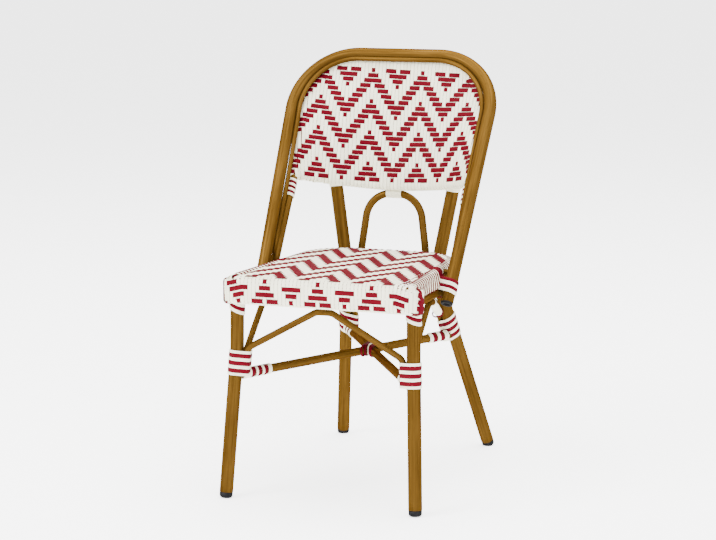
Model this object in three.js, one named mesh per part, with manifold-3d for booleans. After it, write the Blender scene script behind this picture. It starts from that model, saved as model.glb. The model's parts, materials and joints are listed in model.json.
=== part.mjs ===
// Bistro chair: a bent tube frame with a bamboo look, and a woven seat and back.
// Millimetres, +Z up, +X to the sitter's left, front of the chair towards -Y.
// The origin lies on the floor, on the mirror plane, midway between front and rear feet.

import * as THREE from "three";
import { mergeVertices } from "three/addons/utils/BufferGeometryUtils.js";
import Module from "manifold-3d";

// Fits and tessellation
const clearance = 0.3;
const overrun = 4;
const meshTolerance = 0.05;
const tubeSides = 12;
const thinTubeSides = 10;
const bendStep = Math.PI / 15;
const leastTurn = bendStep / 100;
const panelColumns = 20;
const panelRows = 12;

// Tube radii and weave thickness
const hoopRadius = 13;
const innerHoopRadius = 9;
const trimRadius = 4.7;
const legRadius = 13.8;
const railRadius = 9;
const lowerSideRailRadius = 8;
const braceRadius = 6.5;
const stretcherRadius = 9;
const archRadius = 8;
const weaveSkin = 2.5;
const weaveSheet = 5;
const wrapThickness = 2.2;

// Seat
const seatTop = 457.7;
const seatFrontFace = -310;
const seatRearY = 120;
const seatFrontHalfWidth = 186;
const seatTaper = 34.8;
const seatRearHalfWidth = seatFrontHalfWidth - seatTaper;
const seatRearBend = 94;
const apronOutset = 11.5;
const apronHalfWidth = seatFrontHalfWidth + apronOutset;
const apronBend = 18;
const apronReturnY = -278;
const apronCornerDrop = 6;
const apronDepth = 58;
const apronBottom = seatTop - apronDepth;
const crossBarY = -90;
const crossBarDrop = 9;
const lowerSideRailInset = 6;
const lowerSideRailX = seatFrontHalfWidth - lowerSideRailInset;
const lowerSideRailBend = 120;

// Feet
const footCapInset = 0.5;
const footCapHeight = 12.5;
const footCapRound = 6;

// Outer hoop, a flat bent tube that leans back
const hoopOutset = 21.7;
const hoopSeatX = seatFrontHalfWidth + hoopOutset;
const hoopSeatY = -67.6;
const hoopSeatRise = 11;
const hoopSeatZ = seatTop + hoopSeatRise;
const hoopLeanShare = 0.63;
const hoopFlareShare = 0.0475;
const hoopTopRise = 413.9;
const hoopTopZ = seatTop + hoopTopRise;
const hoopBend = 132.7;
const hoopEndDrop = 63;
const hoopEndZ = seatTop - hoopEndDrop;
const hoopCapHeight = 4;
const hoopCapLip = 0.4;

// Lower rail of the back
const lowerRailHeight = 137;
const lowerRailZ = seatTop + lowerRailHeight;
const lowerRailRise = 27;

// Inner hoop that carries the weave
const innerHoopOutset = 9.5;
const innerHoopX = seatFrontHalfWidth + innerHoopOutset;
const innerHoopEndDrop = 21;
const innerHoopEndZ = seatTop - innerHoopEndDrop;
const innerHoopEndY = -55.6;
const innerHoopKneeRise = 10;
const innerHoopKneeZ = lowerRailZ + innerHoopKneeRise;
const innerHoopKneeY = 51;
const innerHoopTopRise = 391;
const innerHoopTopZ = seatTop + innerHoopTopRise;
const innerHoopTopY = 188;
const innerHoopBend = 105;
const innerHoopKneeBend = 400;

// Trim tube along the groove between the two hoops: its angle round the outer hoop, by height
const trimEndRise = 5;
const trimEndZ = seatTop + trimEndRise;
const trimLowAngle = THREE.MathUtils.degToRad(-56);
const trimTopAngle = THREE.MathUtils.degToRad(24);

// Back panel: its front face is a bowl between the centre line and the inner hoop
const panelCentreRise = 9;
const panelCentreZ = lowerRailZ + panelCentreRise;
const panelSetback = 17;
const panelCentreY = seatRearY + panelSetback;
const panelCentreLeanShare = 0.164;
const panelBowlPower = 2.55;
const panelBowlFadeShare = 1.52;
const panelBowlPowerLeast = 1.5;

// Front legs: foot, knee above the wraps, and top
const frontFootSplay = 15.9;
const frontFootX = seatFrontHalfWidth + frontFootSplay;
const frontFootY = -302.3;
const frontKneeSplay = 1;
const frontKneeX = seatFrontHalfWidth + frontKneeSplay;
const frontKneeY = -273.5;
const frontKneeZ = 304.7;
const frontTopX = seatFrontHalfWidth;
const frontTopY = -272;
const legBend = 160;

// Rear legs: foot, seat level and the top of the upright behind the back's lower rail
const rearFootSplay = 22;
const rearFootX = seatRearHalfWidth + rearFootSplay;
const rearFootY = 306.4;
const rearSeatInset = 50.7;
const rearSeatX = seatRearHalfWidth - rearSeatInset;
const rearSeatSetback = 14.4;
const rearSeatY = seatRearY + rearSeatSetback;
const rearSeatDrop = 50;
const rearSeatZ = seatTop - rearSeatDrop;
const rearTopInset = 58.8;
const rearTopX = innerHoopX - rearTopInset;
const rearTopSetback = 16.6;
const rearTopY = panelCentreY + rearTopSetback;
const rearTopRise = 21;
const rearTopZ = lowerRailZ + rearTopRise;

// Rear end of the lower side rails, beside the rear legs
const lowerSideRailOutset = 11.5;
const lowerSideRailRearX = rearSeatX + lowerSideRailOutset;

// Arch between the seat and the back
const archFootInset = 25.3;
const archFootX = rearSeatX - archFootInset;
const archFootSetback = 27.5;
const archFootY = seatRearY + archFootSetback;
const archTopSetback = 17.5;
const archTopY = panelCentreY + archTopSetback;
const archTopDrop = 19;
const archTopZ = lowerRailZ - archTopDrop;
const archTaper = 18.7;
const archShoulderX = archFootX - archTaper;
const archBendSlack = 1.5;
const archBend = archShoulderX + archBendSlack;

// Braces
const braceGap = 0.6;
const frontBraceTopDrop = 69;
const frontBraceTopZ = seatTop - frontBraceTopDrop;
const frontBraceRiseShare = 0.56;
const frontBraceBend = 25;
const braceEndBend = 22;
const braceEndZ = 254.7;
const sideBraceTopY = -129.5;
const sideBraceFlat = 35;
const sideBraceFrontRiseShare = 0.93;
const sideBraceInset = 10.5;
const sideBraceX = seatFrontHalfWidth - sideBraceInset;
const sideBraceBend = 25;

// Stretchers
const stretcherFrontZ = 249.7;
const stretcherRearZ = 270.7;

// Wraps: where each starts and how long it is
const frontWrapLow = 250.7;
const frontWrapLength = 50;
const rearWrapLow = 263.7;
const rearWrapLength = 50;
const frontStretcherWrapLength = 71;
const rearStretcherWrapLength = 58;
const legTopWrapLength = 22;
const hoopWrapDrop = 47;
const hoopWrapLow = seatTop - hoopWrapDrop;
const hoopWrapLength = 25;
const innerHoopWrapDrop = 37.2;
const uprightWrapLength = 17;
const archWrapHalfWidth = 17;
const sideBraceWrapLength = 16;
const padRadius = 6;

// Finishes
const tubePaint = { color: 0xb07a35, roughness: 0.38, metalness: 0.25 };
const creamStrand = { color: 0xe6e3d2, roughness: 0.62, metalness: 0 };
const redStrand = { color: 0xa51830, roughness: 0.55, metalness: 0 };
const blackPlastic = { color: 0x1c1c1e, roughness: 0.6, metalness: 0 };

const manifoldLibrary = await Module();
manifoldLibrary.setup();

const chair = new THREE.Group();

/** Route whose stations are used one by one, so straight runs need no extra steps. */
class StationRoute extends THREE.Curve {
  constructor(stations) {
    super();
    this.stations = stations;
  }

  index(share) {
    return Math.round(share * (this.stations.length - 1));
  }

  getPoint(share, target = new THREE.Vector3()) {
    return target.copy(this.stations[this.index(share)]);
  }

  getPointAt(share, target) {
    return this.getPoint(share, target);
  }

  getTangentAt(share, target = new THREE.Vector3()) {
    const i = this.index(share);
    const last = this.stations.length - 1;
    const before = this.stations[Math.max(i - 1, 0)];
    const here = this.stations[i];
    const after = this.stations[Math.min(i + 1, last)];
    const arriving = here.clone().sub(before).normalize();
    const leaving = after.clone().sub(here).normalize();
    return target.copy(arriving.add(leaving)).normalize();
  }
}

/** Stations of a polyline whose inner corners are rounded to the given bend radii. */
function rounded(corners, bends) {
  const stations = [corners[0].clone()];
  for (let i = 1; i < corners.length - 1; i += 1) {
    const back = corners[i - 1].clone().sub(corners[i]).normalize();
    const ahead = corners[i + 1].clone().sub(corners[i]).normalize();
    const turn = Math.PI - back.angleTo(ahead);
    if (turn < leastTurn) {
      stations.push(corners[i].clone());
      continue;
    }
    const bend = bends[i - 1];
    const reach = bend * Math.tan(turn / 2);
    const middle = back.clone().add(ahead).normalize();
    const centre = corners[i].clone().addScaledVector(middle, bend / Math.cos(turn / 2));
    const start = corners[i].clone().addScaledVector(back, reach).sub(centre);
    const axis = back.clone().cross(ahead).negate().normalize();
    const steps = Math.max(2, Math.ceil(turn / bendStep));
    for (let k = 0; k <= steps; k += 1) {
      const spoke = start.clone().applyAxisAngle(axis, (turn * k) / steps);
      stations.push(spoke.add(centre));
    }
  }
  stations.push(corners[corners.length - 1].clone());
  return stations;
}

/** Mirror a half route that starts on the mirror plane into one whole route. */
function wholeFromHalf(half) {
  const mirrored = half.slice(1).map((p) => new THREE.Vector3(-p.x, p.y, p.z));
  return mirrored.reverse().concat(half);
}

function mirroredRoute(stations) {
  return stations.map((p) => new THREE.Vector3(-p.x, p.y, p.z));
}

function vector(x, y, z) {
  return new THREE.Vector3(x, y, z);
}

/** Closed geometry as a solid for joining and cutting. */
function solidFrom(geometry) {
  const bare = geometry.index ? geometry.toNonIndexed() : geometry.clone();
  bare.deleteAttribute("normal");
  bare.deleteAttribute("uv");
  const welded = mergeVertices(bare, clearance / 100);
  const solid = new manifoldLibrary.Manifold(
    new manifoldLibrary.Mesh({
      numProp: 3,
      vertProperties: new Float32Array(welded.attributes.position.array),
      triVerts: new Uint32Array(welded.index.array),
    }),
  );
  return solid;
}

function geometryFrom(solid) {
  const mesh = solid.asOriginal().simplify(meshTolerance).getMesh();
  const geometry = new THREE.BufferGeometry();
  const positions = new THREE.BufferAttribute(new Float32Array(mesh.vertProperties), 3);
  geometry.setAttribute("position", positions);
  geometry.setIndex(new THREE.BufferAttribute(new Uint32Array(mesh.triVerts), 1));
  geometry.computeVertexNormals();
  return geometry;
}

/** Round bar along stations. */
function tube(stations, radius, sides = tubeSides) {
  const section = new THREE.Shape();
  for (let i = 0; i < sides; i += 1) {
    const angle = (2 * Math.PI * i) / sides;
    const point = [radius * Math.cos(angle), radius * Math.sin(angle)];
    if (i === 0) section.moveTo(...point);
    else section.lineTo(...point);
  }
  section.closePath();
  const geometry = new THREE.ExtrudeGeometry(section, {
    steps: stations.length - 1,
    extrudePath: new StationRoute(stations),
    curveSegments: 1,
  });
  return solidFrom(geometry);
}

/** Joins solids into one. */
function joined(solids) {
  return solids.reduce((whole, next) => whole.add(next));
}

/** Takes cutters away from a solid and keeps its largest piece. */
function cut(solid, cutters) {
  const rest = cutters.reduce((whole, next) => whole.subtract(next), solid);
  const pieces = rest.decompose();
  pieces.sort((a, b) => b.volume() - a.volume());
  return pieces[0];
}

function place(name, solid, finish) {
  const mesh = new THREE.Mesh(geometryFrom(solid), new THREE.MeshStandardMaterial(finish));
  mesh.name = name;
  chair.add(mesh);
}

/** Closed shape in two directions, swept straight along the third. */
function prism(outline, depth, matrix) {
  const geometry = new THREE.ExtrudeGeometry(new THREE.Shape(outline), {
    depth,
    bevelEnabled: false,
    steps: 1,
  });
  geometry.applyMatrix4(matrix);
  return solidFrom(geometry);
}

/** Convex outline round a set of discs, each with a place and a radius. */
function bandOutline(discs, growth) {
  const points = [];
  for (const disc of discs) {
    for (let i = 0; i < tubeSides; i += 1) {
      const angle = (2 * Math.PI * (i + 1 / 2)) / tubeSides;
      const radius = (disc.radius + growth) / Math.cos(Math.PI / tubeSides);
      points.push(vector(disc.x + radius * Math.cos(angle), disc.y + radius * Math.sin(angle), 0));
    }
  }
  const sorted = points.sort((a, b) => a.x - b.x || a.y - b.y);
  const turnsRight = (a, b, c) => (b.x - a.x) * (c.y - a.y) - (b.y - a.y) * (c.x - a.x) <= 0;
  const chain = (list) => {
    const hull = [];
    for (const p of list) {
      while (hull.length > 1 && turnsRight(hull[hull.length - 2], hull[hull.length - 1], p)) {
        hull.pop();
      }
      hull.push(p);
    }
    return hull.slice(0, -1);
  };
  const hull = chain(sorted).concat(chain(sorted.slice().reverse()));
  return hull.map((p) => new THREE.Vector2(p.x, p.y));
}

/** Band wound round neighbouring tubes, from one point to another along the main tube. */
function band(from, to, others, mainRadius, growth) {
  const along = to.clone().sub(from).normalize();
  const sideways = Math.abs(along.x) > Math.SQRT1_2 ? vector(0, 1, 0) : vector(1, 0, 0);
  const across = sideways.addScaledVector(along, -sideways.dot(along)).normalize();
  const third = along.clone().cross(across);
  const discs = [{ x: 0, y: 0, radius: mainRadius }];
  for (const other of others) {
    const offset = other.at.clone().sub(from);
    discs.push({ x: offset.dot(across), y: offset.dot(third), radius: other.radius });
  }
  const matrix = new THREE.Matrix4().makeBasis(across, third, along).setPosition(from);
  return prism(bandOutline(discs, growth), to.distanceTo(from), matrix);
}

function pointAtHeight(stations, z) {
  for (let i = 1; i < stations.length; i += 1) {
    const a = stations[i - 1];
    const b = stations[i];
    if ((a.z - z) * (b.z - z) <= 0 && a.z !== b.z) {
      return a.clone().lerp(b, (z - a.z) / (b.z - a.z));
    }
  }
  return stations[0].clone();
}

/** Point at a distance from a start point along a straight run. */
function stepAlong(from, towards, distance) {
  return from.clone().addScaledVector(towards.clone().sub(from).normalize(), distance);
}

// Seat rim and the rails under it
const rimZ = seatTop - weaveSkin - railRadius;
const frontRailY = seatFrontFace + weaveSkin + railRadius;
const lowerFrontRailZ = apronBottom + weaveSkin + railRadius;

/** Front of the seat from the mirror plane round the corner, which may lie lower. */
function apronHalf(z, cornerDrop = 0) {
  const cornerZ = z - cornerDrop;
  return rounded(
    [
      vector(0, frontRailY, z),
      vector(apronHalfWidth - 2 * apronBend, frontRailY, z),
      vector(apronHalfWidth, frontRailY, cornerZ),
      vector(apronHalfWidth, apronReturnY, cornerZ),
    ],
    [apronBend, apronBend],
  );
}

/** Side and rear of the seat from behind the apron to the mirror plane, at one height. */
function seatBackHalf(z) {
  return rounded(
    [
      vector(seatSideX(apronReturnY), apronReturnY, z),
      vector(seatRearHalfWidth, seatRearY, z),
      vector(0, seatRearY, z),
    ],
    [seatRearBend],
  );
}

/** X of the seat rim's side at a given Y. */
function seatSideX(y) {
  const share = (y - frontRailY) / (seatRearY - frontRailY);
  return seatFrontHalfWidth + (seatRearHalfWidth - seatFrontHalfWidth) * share;
}

/** Part of a route between two values of Y, cut squarely. */
function routeBetween(stations, lowY, highY) {
  const kept = [];
  stations.forEach((p, i) => {
    const before = stations[i - 1];
    for (const y of [lowY, highY]) {
      if (before && (before.y - y) * (p.y - y) < 0) {
        kept.push(before.clone().lerp(p, (y - before.y) / (p.y - before.y)));
      }
    }
    if (p.y >= lowY && p.y <= highY) kept.push(p.clone());
  });
  return kept;
}

const rearBendStartY = seatRearY - seatRearBend;
const apronRoute = wholeFromHalf(apronHalf(rimZ, apronCornerDrop));
const lowerApronRoute = wholeFromHalf(apronHalf(lowerFrontRailZ));
const rimBackHalf = seatBackHalf(rimZ);
const rimRearHalf = routeBetween(rimBackHalf, rearBendStartY, seatRearY);
const rimRear = wholeFromHalf(rimRearHalf.slice().reverse());
const rimSide = [
  vector(seatSideX(apronReturnY + clearance), apronReturnY + clearance, rimZ),
  vector(seatSideX(rearBendStartY - clearance), rearBendStartY - clearance, rimZ),
];

/** Bars all round the rim: the front bar and the side and rear bar. */
function rimRing(radius) {
  const back = wholeFromHalf(rimBackHalf.slice().reverse());
  return tube(apronRoute, radius).add(tube(back, radius));
}

/** Route made longer at both ends. */
function extended(stations, reach) {
  const longer = stations.map((p) => p.clone());
  const last = longer.length - 1;
  const head = longer[0].clone().sub(longer[1]).normalize();
  const tail = longer[last].clone().sub(longer[last - 1]).normalize();
  longer[0].addScaledVector(head, reach);
  longer[last].addScaledVector(tail, reach);
  return longer;
}

function boxBetween(low, high) {
  const size = high.clone().sub(low);
  const geometry = new THREE.BoxGeometry(size.x, size.y, size.z);
  geometry.translate((low.x + high.x) / 2, (low.y + high.y) / 2, (low.z + high.z) / 2);
  return solidFrom(geometry);
}

// Leg routes
const frontLegRoute = rounded(
  [
    vector(frontFootX, frontFootY, 0),
    vector(frontKneeX, frontKneeY, frontKneeZ),
    vector(frontTopX, frontTopY, rimZ),
  ],
  [legBend],
);
const rearLegRoute = rounded(
  [
    vector(rearFootX, rearFootY, 0),
    vector(rearSeatX, rearSeatY, rearSeatZ),
    vector(rearTopX, rearTopY, rearTopZ),
  ],
  [legBend],
);

// Outer hoop in its leaning plane
const hoopPlane = new THREE.Vector3(0, hoopLeanShare, 1).normalize();
const hoopNormal = new THREE.Vector3(0, -hoopPlane.z, hoopPlane.y);

function onHoopPlane(x, z) {
  return vector(x, hoopSeatY + hoopLeanShare * (z - hoopSeatZ), z);
}

function hoopLegX(z) {
  return hoopSeatX + hoopFlareShare * (z - hoopSeatZ);
}

const hoopHalf = rounded(
  [
    onHoopPlane(0, hoopTopZ),
    onHoopPlane(hoopLegX(hoopTopZ), hoopTopZ),
    onHoopPlane(hoopLegX(hoopEndZ), hoopEndZ),
  ],
  [hoopBend],
);
const hoopRoute = wholeFromHalf(hoopHalf);

// Inner hoop
const innerHoopHalf = rounded(
  [
    vector(0, innerHoopTopY, innerHoopTopZ),
    vector(innerHoopX, innerHoopTopY, innerHoopTopZ),
    vector(innerHoopX, innerHoopKneeY, innerHoopKneeZ),
    vector(innerHoopX, innerHoopEndY, innerHoopEndZ),
  ],
  [innerHoopBend, innerHoopKneeBend],
);
const innerHoopRoute = wholeFromHalf(innerHoopHalf);

/** Trim tube: follows the outer hoop at touching distance, turning round it with height. */
function trimHalf() {
  const reach = hoopRadius + trimRadius + clearance;
  const hoopWithSteps = [];
  hoopHalf.forEach((p, i) => {
    if (i === hoopHalf.length - 1) {
      const before = hoopHalf[i - 1];
      const steps = Math.round((before.z - trimEndZ) / (hoopTopZ - before.z)) * 2;
      for (let k = 1; k <= steps; k += 1) {
        const z = before.z + ((trimEndZ - before.z) * k) / steps;
        hoopWithSteps.push(onHoopPlane(hoopLegX(z), z));
      }
    } else {
      hoopWithSteps.push(p.clone());
    }
  });
  return hoopWithSteps.map((p, i) => {
    const before = hoopWithSteps[Math.max(i - 1, 0)];
    const after = hoopWithSteps[Math.min(i + 1, hoopWithSteps.length - 1)];
    const along = after.clone().sub(before).normalize();
    const inward = along.clone().cross(hoopNormal).normalize();
    const heightShare = (p.z - trimEndZ) / (hoopTopZ - trimEndZ);
    const angle = trimLowAngle + (trimTopAngle - trimLowAngle) * heightShare;
    const station = p.clone().addScaledVector(inward, reach * Math.cos(angle));
    station.addScaledVector(hoopNormal, reach * Math.sin(angle));
    if (i === 0) station.x = 0;
    return station;
  });
}
const trimRoute = wholeFromHalf(trimHalf());

// Back panel surface
function innerHoopY(z) {
  const knee = z < innerHoopKneeZ;
  const otherZ = knee ? innerHoopEndZ : innerHoopTopZ;
  const otherY = knee ? innerHoopEndY : innerHoopTopY;
  const share = (z - innerHoopKneeZ) / (otherZ - innerHoopKneeZ);
  return innerHoopKneeY + (otherY - innerHoopKneeY) * share;
}

/** Y of the panel's front face. */
function panelFrontY(x, z) {
  const centre = panelCentreY + panelCentreLeanShare * (z - panelCentreZ);
  const edge = innerHoopY(z) - innerHoopRadius - weaveSkin / 2;
  const fade = (panelBowlFadeShare * (z - panelCentreZ)) / (innerHoopTopZ - panelCentreZ);
  const power = Math.max(panelBowlPower - fade, panelBowlPowerLeast);
  return centre - (centre - edge) * Math.pow(Math.abs(x) / innerHoopX, power);
}

/** Point behind the panel's front face by a depth square to it. */
function behindPanel(x, z, depth) {
  const span = panelColumns;
  const slopeX = (panelFrontY(x + span, z) - panelFrontY(x - span, z)) / (2 * span);
  const slopeZ = (panelFrontY(x, z + span) - panelFrontY(x, z - span)) / (2 * span);
  const back = vector(-slopeX, 1, -slopeZ).normalize();
  return vector(x, panelFrontY(x, z), z).addScaledVector(back, depth);
}

function lowerRailZAt(x) {
  const share = x / innerHoopX;
  return lowerRailZ + lowerRailRise * share * share;
}

function lowerRailStations() {
  const stations = [];
  const steps = panelColumns;
  for (let i = 0; i <= steps; i += 1) {
    const x = innerHoopX * ((2 * i) / steps - 1);
    stations.push(behindPanel(x, lowerRailZAt(x), weaveSkin + railRadius));
  }
  const widthShare = innerHoopX / stations[steps].x;
  for (const station of stations) station.x *= widthShare;
  return stations;
}
const lowerRailRoute = lowerRailStations();

/** Slab that follows the panel's front face, a little larger than the panel. */
function panelSlab() {
  const lowZ = lowerRailZ;
  const highZ = innerHoopTopZ;
  const corner = (i, j, depth) => {
    const x = innerHoopX * ((2 * i) / panelColumns - 1);
    const z = lowZ + ((highZ - lowZ) * j) / panelRows;
    return vector(x, panelFrontY(x, z) + depth, z);
  };
  const positions = [];
  const quad = (a, b, c, d) => {
    for (const p of [a, b, c, a, c, d]) positions.push(p.x, p.y, p.z);
  };
  for (let i = 0; i < panelColumns; i += 1) {
    for (let j = 0; j < panelRows; j += 1) {
      const front = [corner(i, j, 0), corner(i + 1, j, 0), corner(i + 1, j + 1, 0), corner(i, j + 1, 0)];
      const back = front.map((p) => p.clone().add(vector(0, weaveSheet, 0)));
      quad(...front);
      quad(...back.slice().reverse());
      if (i === 0) quad(front[0], front[3], back[3], back[0]);
      if (i === panelColumns - 1) quad(front[2], front[1], back[1], back[2]);
      if (j === 0) quad(front[1], front[0], back[0], back[1]);
      if (j === panelRows - 1) quad(front[3], front[2], back[2], back[3]);
    }
  }
  const geometry = new THREE.BufferGeometry();
  geometry.setAttribute("position", new THREE.Float32BufferAttribute(positions, 3));
  return solidFrom(geometry);
}

/** Everything inside the inner hoop's front outline and above the lower rail, seen squarely. */
function panelPrism() {
  const outline = innerHoopRoute
    .filter((p) => p.z > lowerRailZAt(innerHoopX) + weaveSkin)
    .map((p) => new THREE.Vector2(p.x, p.z));
  const steps = panelColumns;
  for (let i = 0; i <= steps; i += 1) {
    const x = innerHoopX * (1 - (2 * i) / steps);
    outline.push(new THREE.Vector2(x, lowerRailZAt(x)));
  }
  const matrix = new THREE.Matrix4().makeBasis(vector(1, 0, 0), vector(0, 0, 1), vector(0, -1, 0));
  matrix.setPosition(vector(0, 2 * innerHoopTopY, 0));
  return prism(outline, 2 * innerHoopTopY, matrix);
}

// Arch
const archRoute = rounded(
  [
    vector(archFootX, archFootY, rimZ - railRadius),
    vector(archShoulderX, archTopY, archTopZ),
    vector(-archShoulderX, archTopY, archTopZ),
    vector(-archFootX, archFootY, rimZ - railRadius),
  ],
  [archBend, archBend],
);

// Braces
const frontKneeInside = frontKneeX - legRadius - braceRadius - braceGap;
const frontBraceEnd = pointAtHeight(frontLegRoute, braceEndZ);
const frontBraceApexZ = frontKneeZ + frontBraceRiseShare * frontKneeInside;
const frontBraceFlatX = (frontBraceApexZ - frontBraceTopZ) / frontBraceRiseShare;
const frontBraceRoute = rounded(
  [
    vector(frontBraceEnd.x - legRadius - braceRadius - braceGap, frontBraceEnd.y, braceEndZ),
    vector(frontKneeInside, frontKneeY, frontKneeZ),
    vector(frontBraceFlatX, frontKneeY, frontBraceTopZ),
    vector(-frontBraceFlatX, frontKneeY, frontBraceTopZ),
    vector(-frontKneeInside, frontKneeY, frontKneeZ),
    vector(-frontBraceEnd.x + legRadius + braceRadius + braceGap, frontBraceEnd.y, braceEndZ),
  ],
  [braceEndBend, frontBraceBend, frontBraceBend, braceEndBend],
);

const sideBraceTopZ = lowerFrontRailZ - lowerSideRailRadius - braceRadius - braceGap;
const sideBraceFootY = frontKneeY + legRadius + braceRadius + braceGap;
const sideBraceFlatY = sideBraceTopY - sideBraceFlat / 2;
const sideBraceKneeZ = sideBraceTopZ - sideBraceFrontRiseShare * (sideBraceFlatY - sideBraceFootY);
const rearWrapTop = pointAtHeight(rearLegRoute, rearWrapLow + rearWrapLength);
const rearWrapBase = pointAtHeight(rearLegRoute, rearWrapLow);
const rearInside = legRadius + braceRadius + braceGap;
const sideBraceRoute = rounded(
  [
    vector(sideBraceX, sideBraceFootY - overrun, braceEndZ + overrun),
    vector(sideBraceX, sideBraceFootY, sideBraceKneeZ),
    vector(sideBraceX, sideBraceFlatY, sideBraceTopZ),
    vector(sideBraceX, sideBraceFlatY + sideBraceFlat, sideBraceTopZ),
    vector(rearWrapTop.x - rearInside, rearWrapTop.y, rearWrapTop.z),
    vector(rearWrapBase.x - rearInside, rearWrapBase.y, rearWrapBase.z + overrun),
  ],
  [braceEndBend, sideBraceBend, sideBraceBend, braceEndBend],
);

// Lower side rail, from the front leg to the rear leg
const lowerSideRoute = rounded(
  [
    vector(lowerSideRailX, frontTopY, lowerFrontRailZ),
    vector(lowerSideRailX, rearBendStartY, lowerFrontRailZ),
    vector(lowerSideRailRearX, rearSeatY, lowerFrontRailZ),
  ],
  [lowerSideRailBend],
);

// Stretchers cross on the mirror plane
const stretcherFront = pointAtHeight(frontLegRoute, stretcherFrontZ);
const stretcherRear = pointAtHeight(rearLegRoute, stretcherRearZ);
const crossShare = stretcherFront.x / (stretcherFront.x + stretcherRear.x);
const stretcherRoute = [
  stretcherFront,
  vector(-stretcherRear.x, stretcherRear.y, stretcherRear.z),
];
const crossing = stretcherRoute[0].clone().lerp(stretcherRoute[1], crossShare);

// Solids that other pieces are cut by, grown by the clearance
const grown = {
  rim: rimRing(railRadius + clearance),
  frontLegs: both((route) => tube(extended(route, overrun), legRadius + clearance), frontLegRoute),
  rearLegs: both((route) => tube(extended(route, overrun), legRadius + clearance), rearLegRoute),
  hoop: tube(extended(hoopRoute, overrun), hoopRadius + clearance),
  innerHoop: tube(extended(innerHoopRoute, overrun), innerHoopRadius + clearance),
  trim: tube(extended(trimRoute, overrun), trimRadius + clearance, thinTubeSides),
  lowerRail: tube(lowerRailRoute, railRadius + clearance),
  arch: tube(extended(archRoute, overrun), archRadius + clearance, thinTubeSides),
  stretcher: tube(stretcherRoute, stretcherRadius + clearance),
  stretchers: both((route) => tube(route, stretcherRadius + clearance), stretcherRoute),
  frontBrace: tube(extended(frontBraceRoute, overrun), braceRadius + clearance, thinTubeSides),
  sideBraces: both(
    (route) => tube(extended(route, overrun), braceRadius + clearance, thinTubeSides),
    sideBraceRoute,
  ),
  lowerSides: both(
    (route) => tube(route, lowerSideRailRadius + clearance, thinTubeSides),
    lowerSideRoute,
  ),
};

/** The same solid on both sides of the mirror plane. */
function both(make, route) {
  return make(route).add(make(mirroredRoute(route)));
}

function mirroredSolid(solid) {
  return solid.mirror([1, 0, 0]);
}

/** Places a piece and its mirror image as two nodes. */
function placePair(name, solid, finish) {
  place(`${name}_left`, solid, finish);
  place(`${name}_right`, mirroredSolid(solid), finish);
}

// Seat frame
place("seat_front_rail", tube(apronRoute, railRadius), tubePaint);
placePair("seat_side_rail", tube(rimSide, railRadius), tubePaint);
place("seat_rear_rail", tube(rimRear, railRadius), tubePaint);

const lowerFrontRail = tube(lowerApronRoute, railRadius);
place("lower_front_rail", cut(lowerFrontRail, [grown.frontLegs]), tubePaint);

const lowerSideRail = tube(lowerSideRoute, lowerSideRailRadius, thinTubeSides);
placePair("lower_side_rail", cut(lowerSideRail, [grown.frontLegs, grown.rearLegs]), tubePaint);

const crossBarZ = rimZ - crossBarDrop + railRadius / 2;
const crossBar = tube(
  [vector(-seatSideX(crossBarY), crossBarY, crossBarZ), vector(seatSideX(crossBarY), crossBarY, crossBarZ)],
  lowerSideRailRadius,
  thinTubeSides,
);
place("seat_cross_bar", cut(crossBar, [grown.rim]), tubePaint);

// Legs
const frontLeg = tube(fromCap(frontLegRoute), legRadius);
const rearLeg = tube(fromCap(rearLegRoute), legRadius);

/** Foot cap: a rounded plug on the leg's end, cut flat where it meets the floor. */
function footCap(route) {
  const start = pointAtHeight(route, footCapHeight);
  const along = route[1].clone().sub(route[0]).normalize();
  const outer = legRadius - footCapInset;
  const reach = start.z / along.z;
  const profile = [
    new THREE.Vector2(0, -reach),
    new THREE.Vector2(outer - footCapRound, -reach),
    new THREE.Vector2(outer - footCapRound * Math.SQRT1_2 / 2, footCapRound / 2 - reach),
    new THREE.Vector2(outer, footCapRound - reach),
    new THREE.Vector2(outer, -clearance),
    new THREE.Vector2(0, -clearance),
  ];
  const geometry = new THREE.LatheGeometry(profile, tubeSides);
  geometry.applyQuaternion(new THREE.Quaternion().setFromUnitVectors(vector(0, 1, 0), along));
  geometry.translate(start.x, start.y, start.z);
  return solidFrom(geometry).subtract(underFloor(route));
}

/** Everything under the floor near a foot. */
function underFloor(route) {
  const reach = 2 * legRadius;
  return boxBetween(
    vector(route[0].x - reach, route[0].y - reach, -reach),
    vector(route[0].x + reach, route[0].y + reach, 0),
  );
}

/** Leg route from the top of its foot cap upwards. */
function fromCap(route) {
  return [pointAtHeight(route, footCapHeight)].concat(route.slice(1));
}

const frontLegTopCut = boxBetween(
  vector(0, 2 * seatFrontFace, rimZ - railRadius / 2),
  vector(2 * seatFrontHalfWidth, 0, seatTop),
);
placePair("front_leg", cut(frontLeg, [grown.rim, frontLegTopCut]), tubePaint);
placePair("rear_leg", cut(rearLeg, [grown.rim]), tubePaint);
placePair("front_foot_cap", footCap(frontLegRoute), blackPlastic);
placePair("rear_foot_cap", footCap(rearLegRoute), blackPlastic);

// Hoops of the back
place("outer_hoop", tube(hoopRoute, hoopRadius), tubePaint);
const innerHoop = tube(innerHoopRoute, innerHoopRadius);
place("inner_hoop", cut(innerHoop, [grown.trim, grown.hoop]), tubePaint);
place("hoop_trim", tube(trimRoute, trimRadius, thinTubeSides), tubePaint);

/** Plug in the lower end of a hoop leg. */
function hoopCap() {
  const last = hoopHalf.length - 1;
  const end = hoopHalf[last];
  const outwards = end.clone().sub(hoopHalf[last - 1]).normalize();
  const near = end.clone().addScaledVector(outwards, clearance);
  const far = near.clone().addScaledVector(outwards, hoopCapHeight);
  return tube([near, far], hoopRadius - hoopCapLip);
}
placePair("hoop_end_cap", hoopCap(), blackPlastic);

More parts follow.
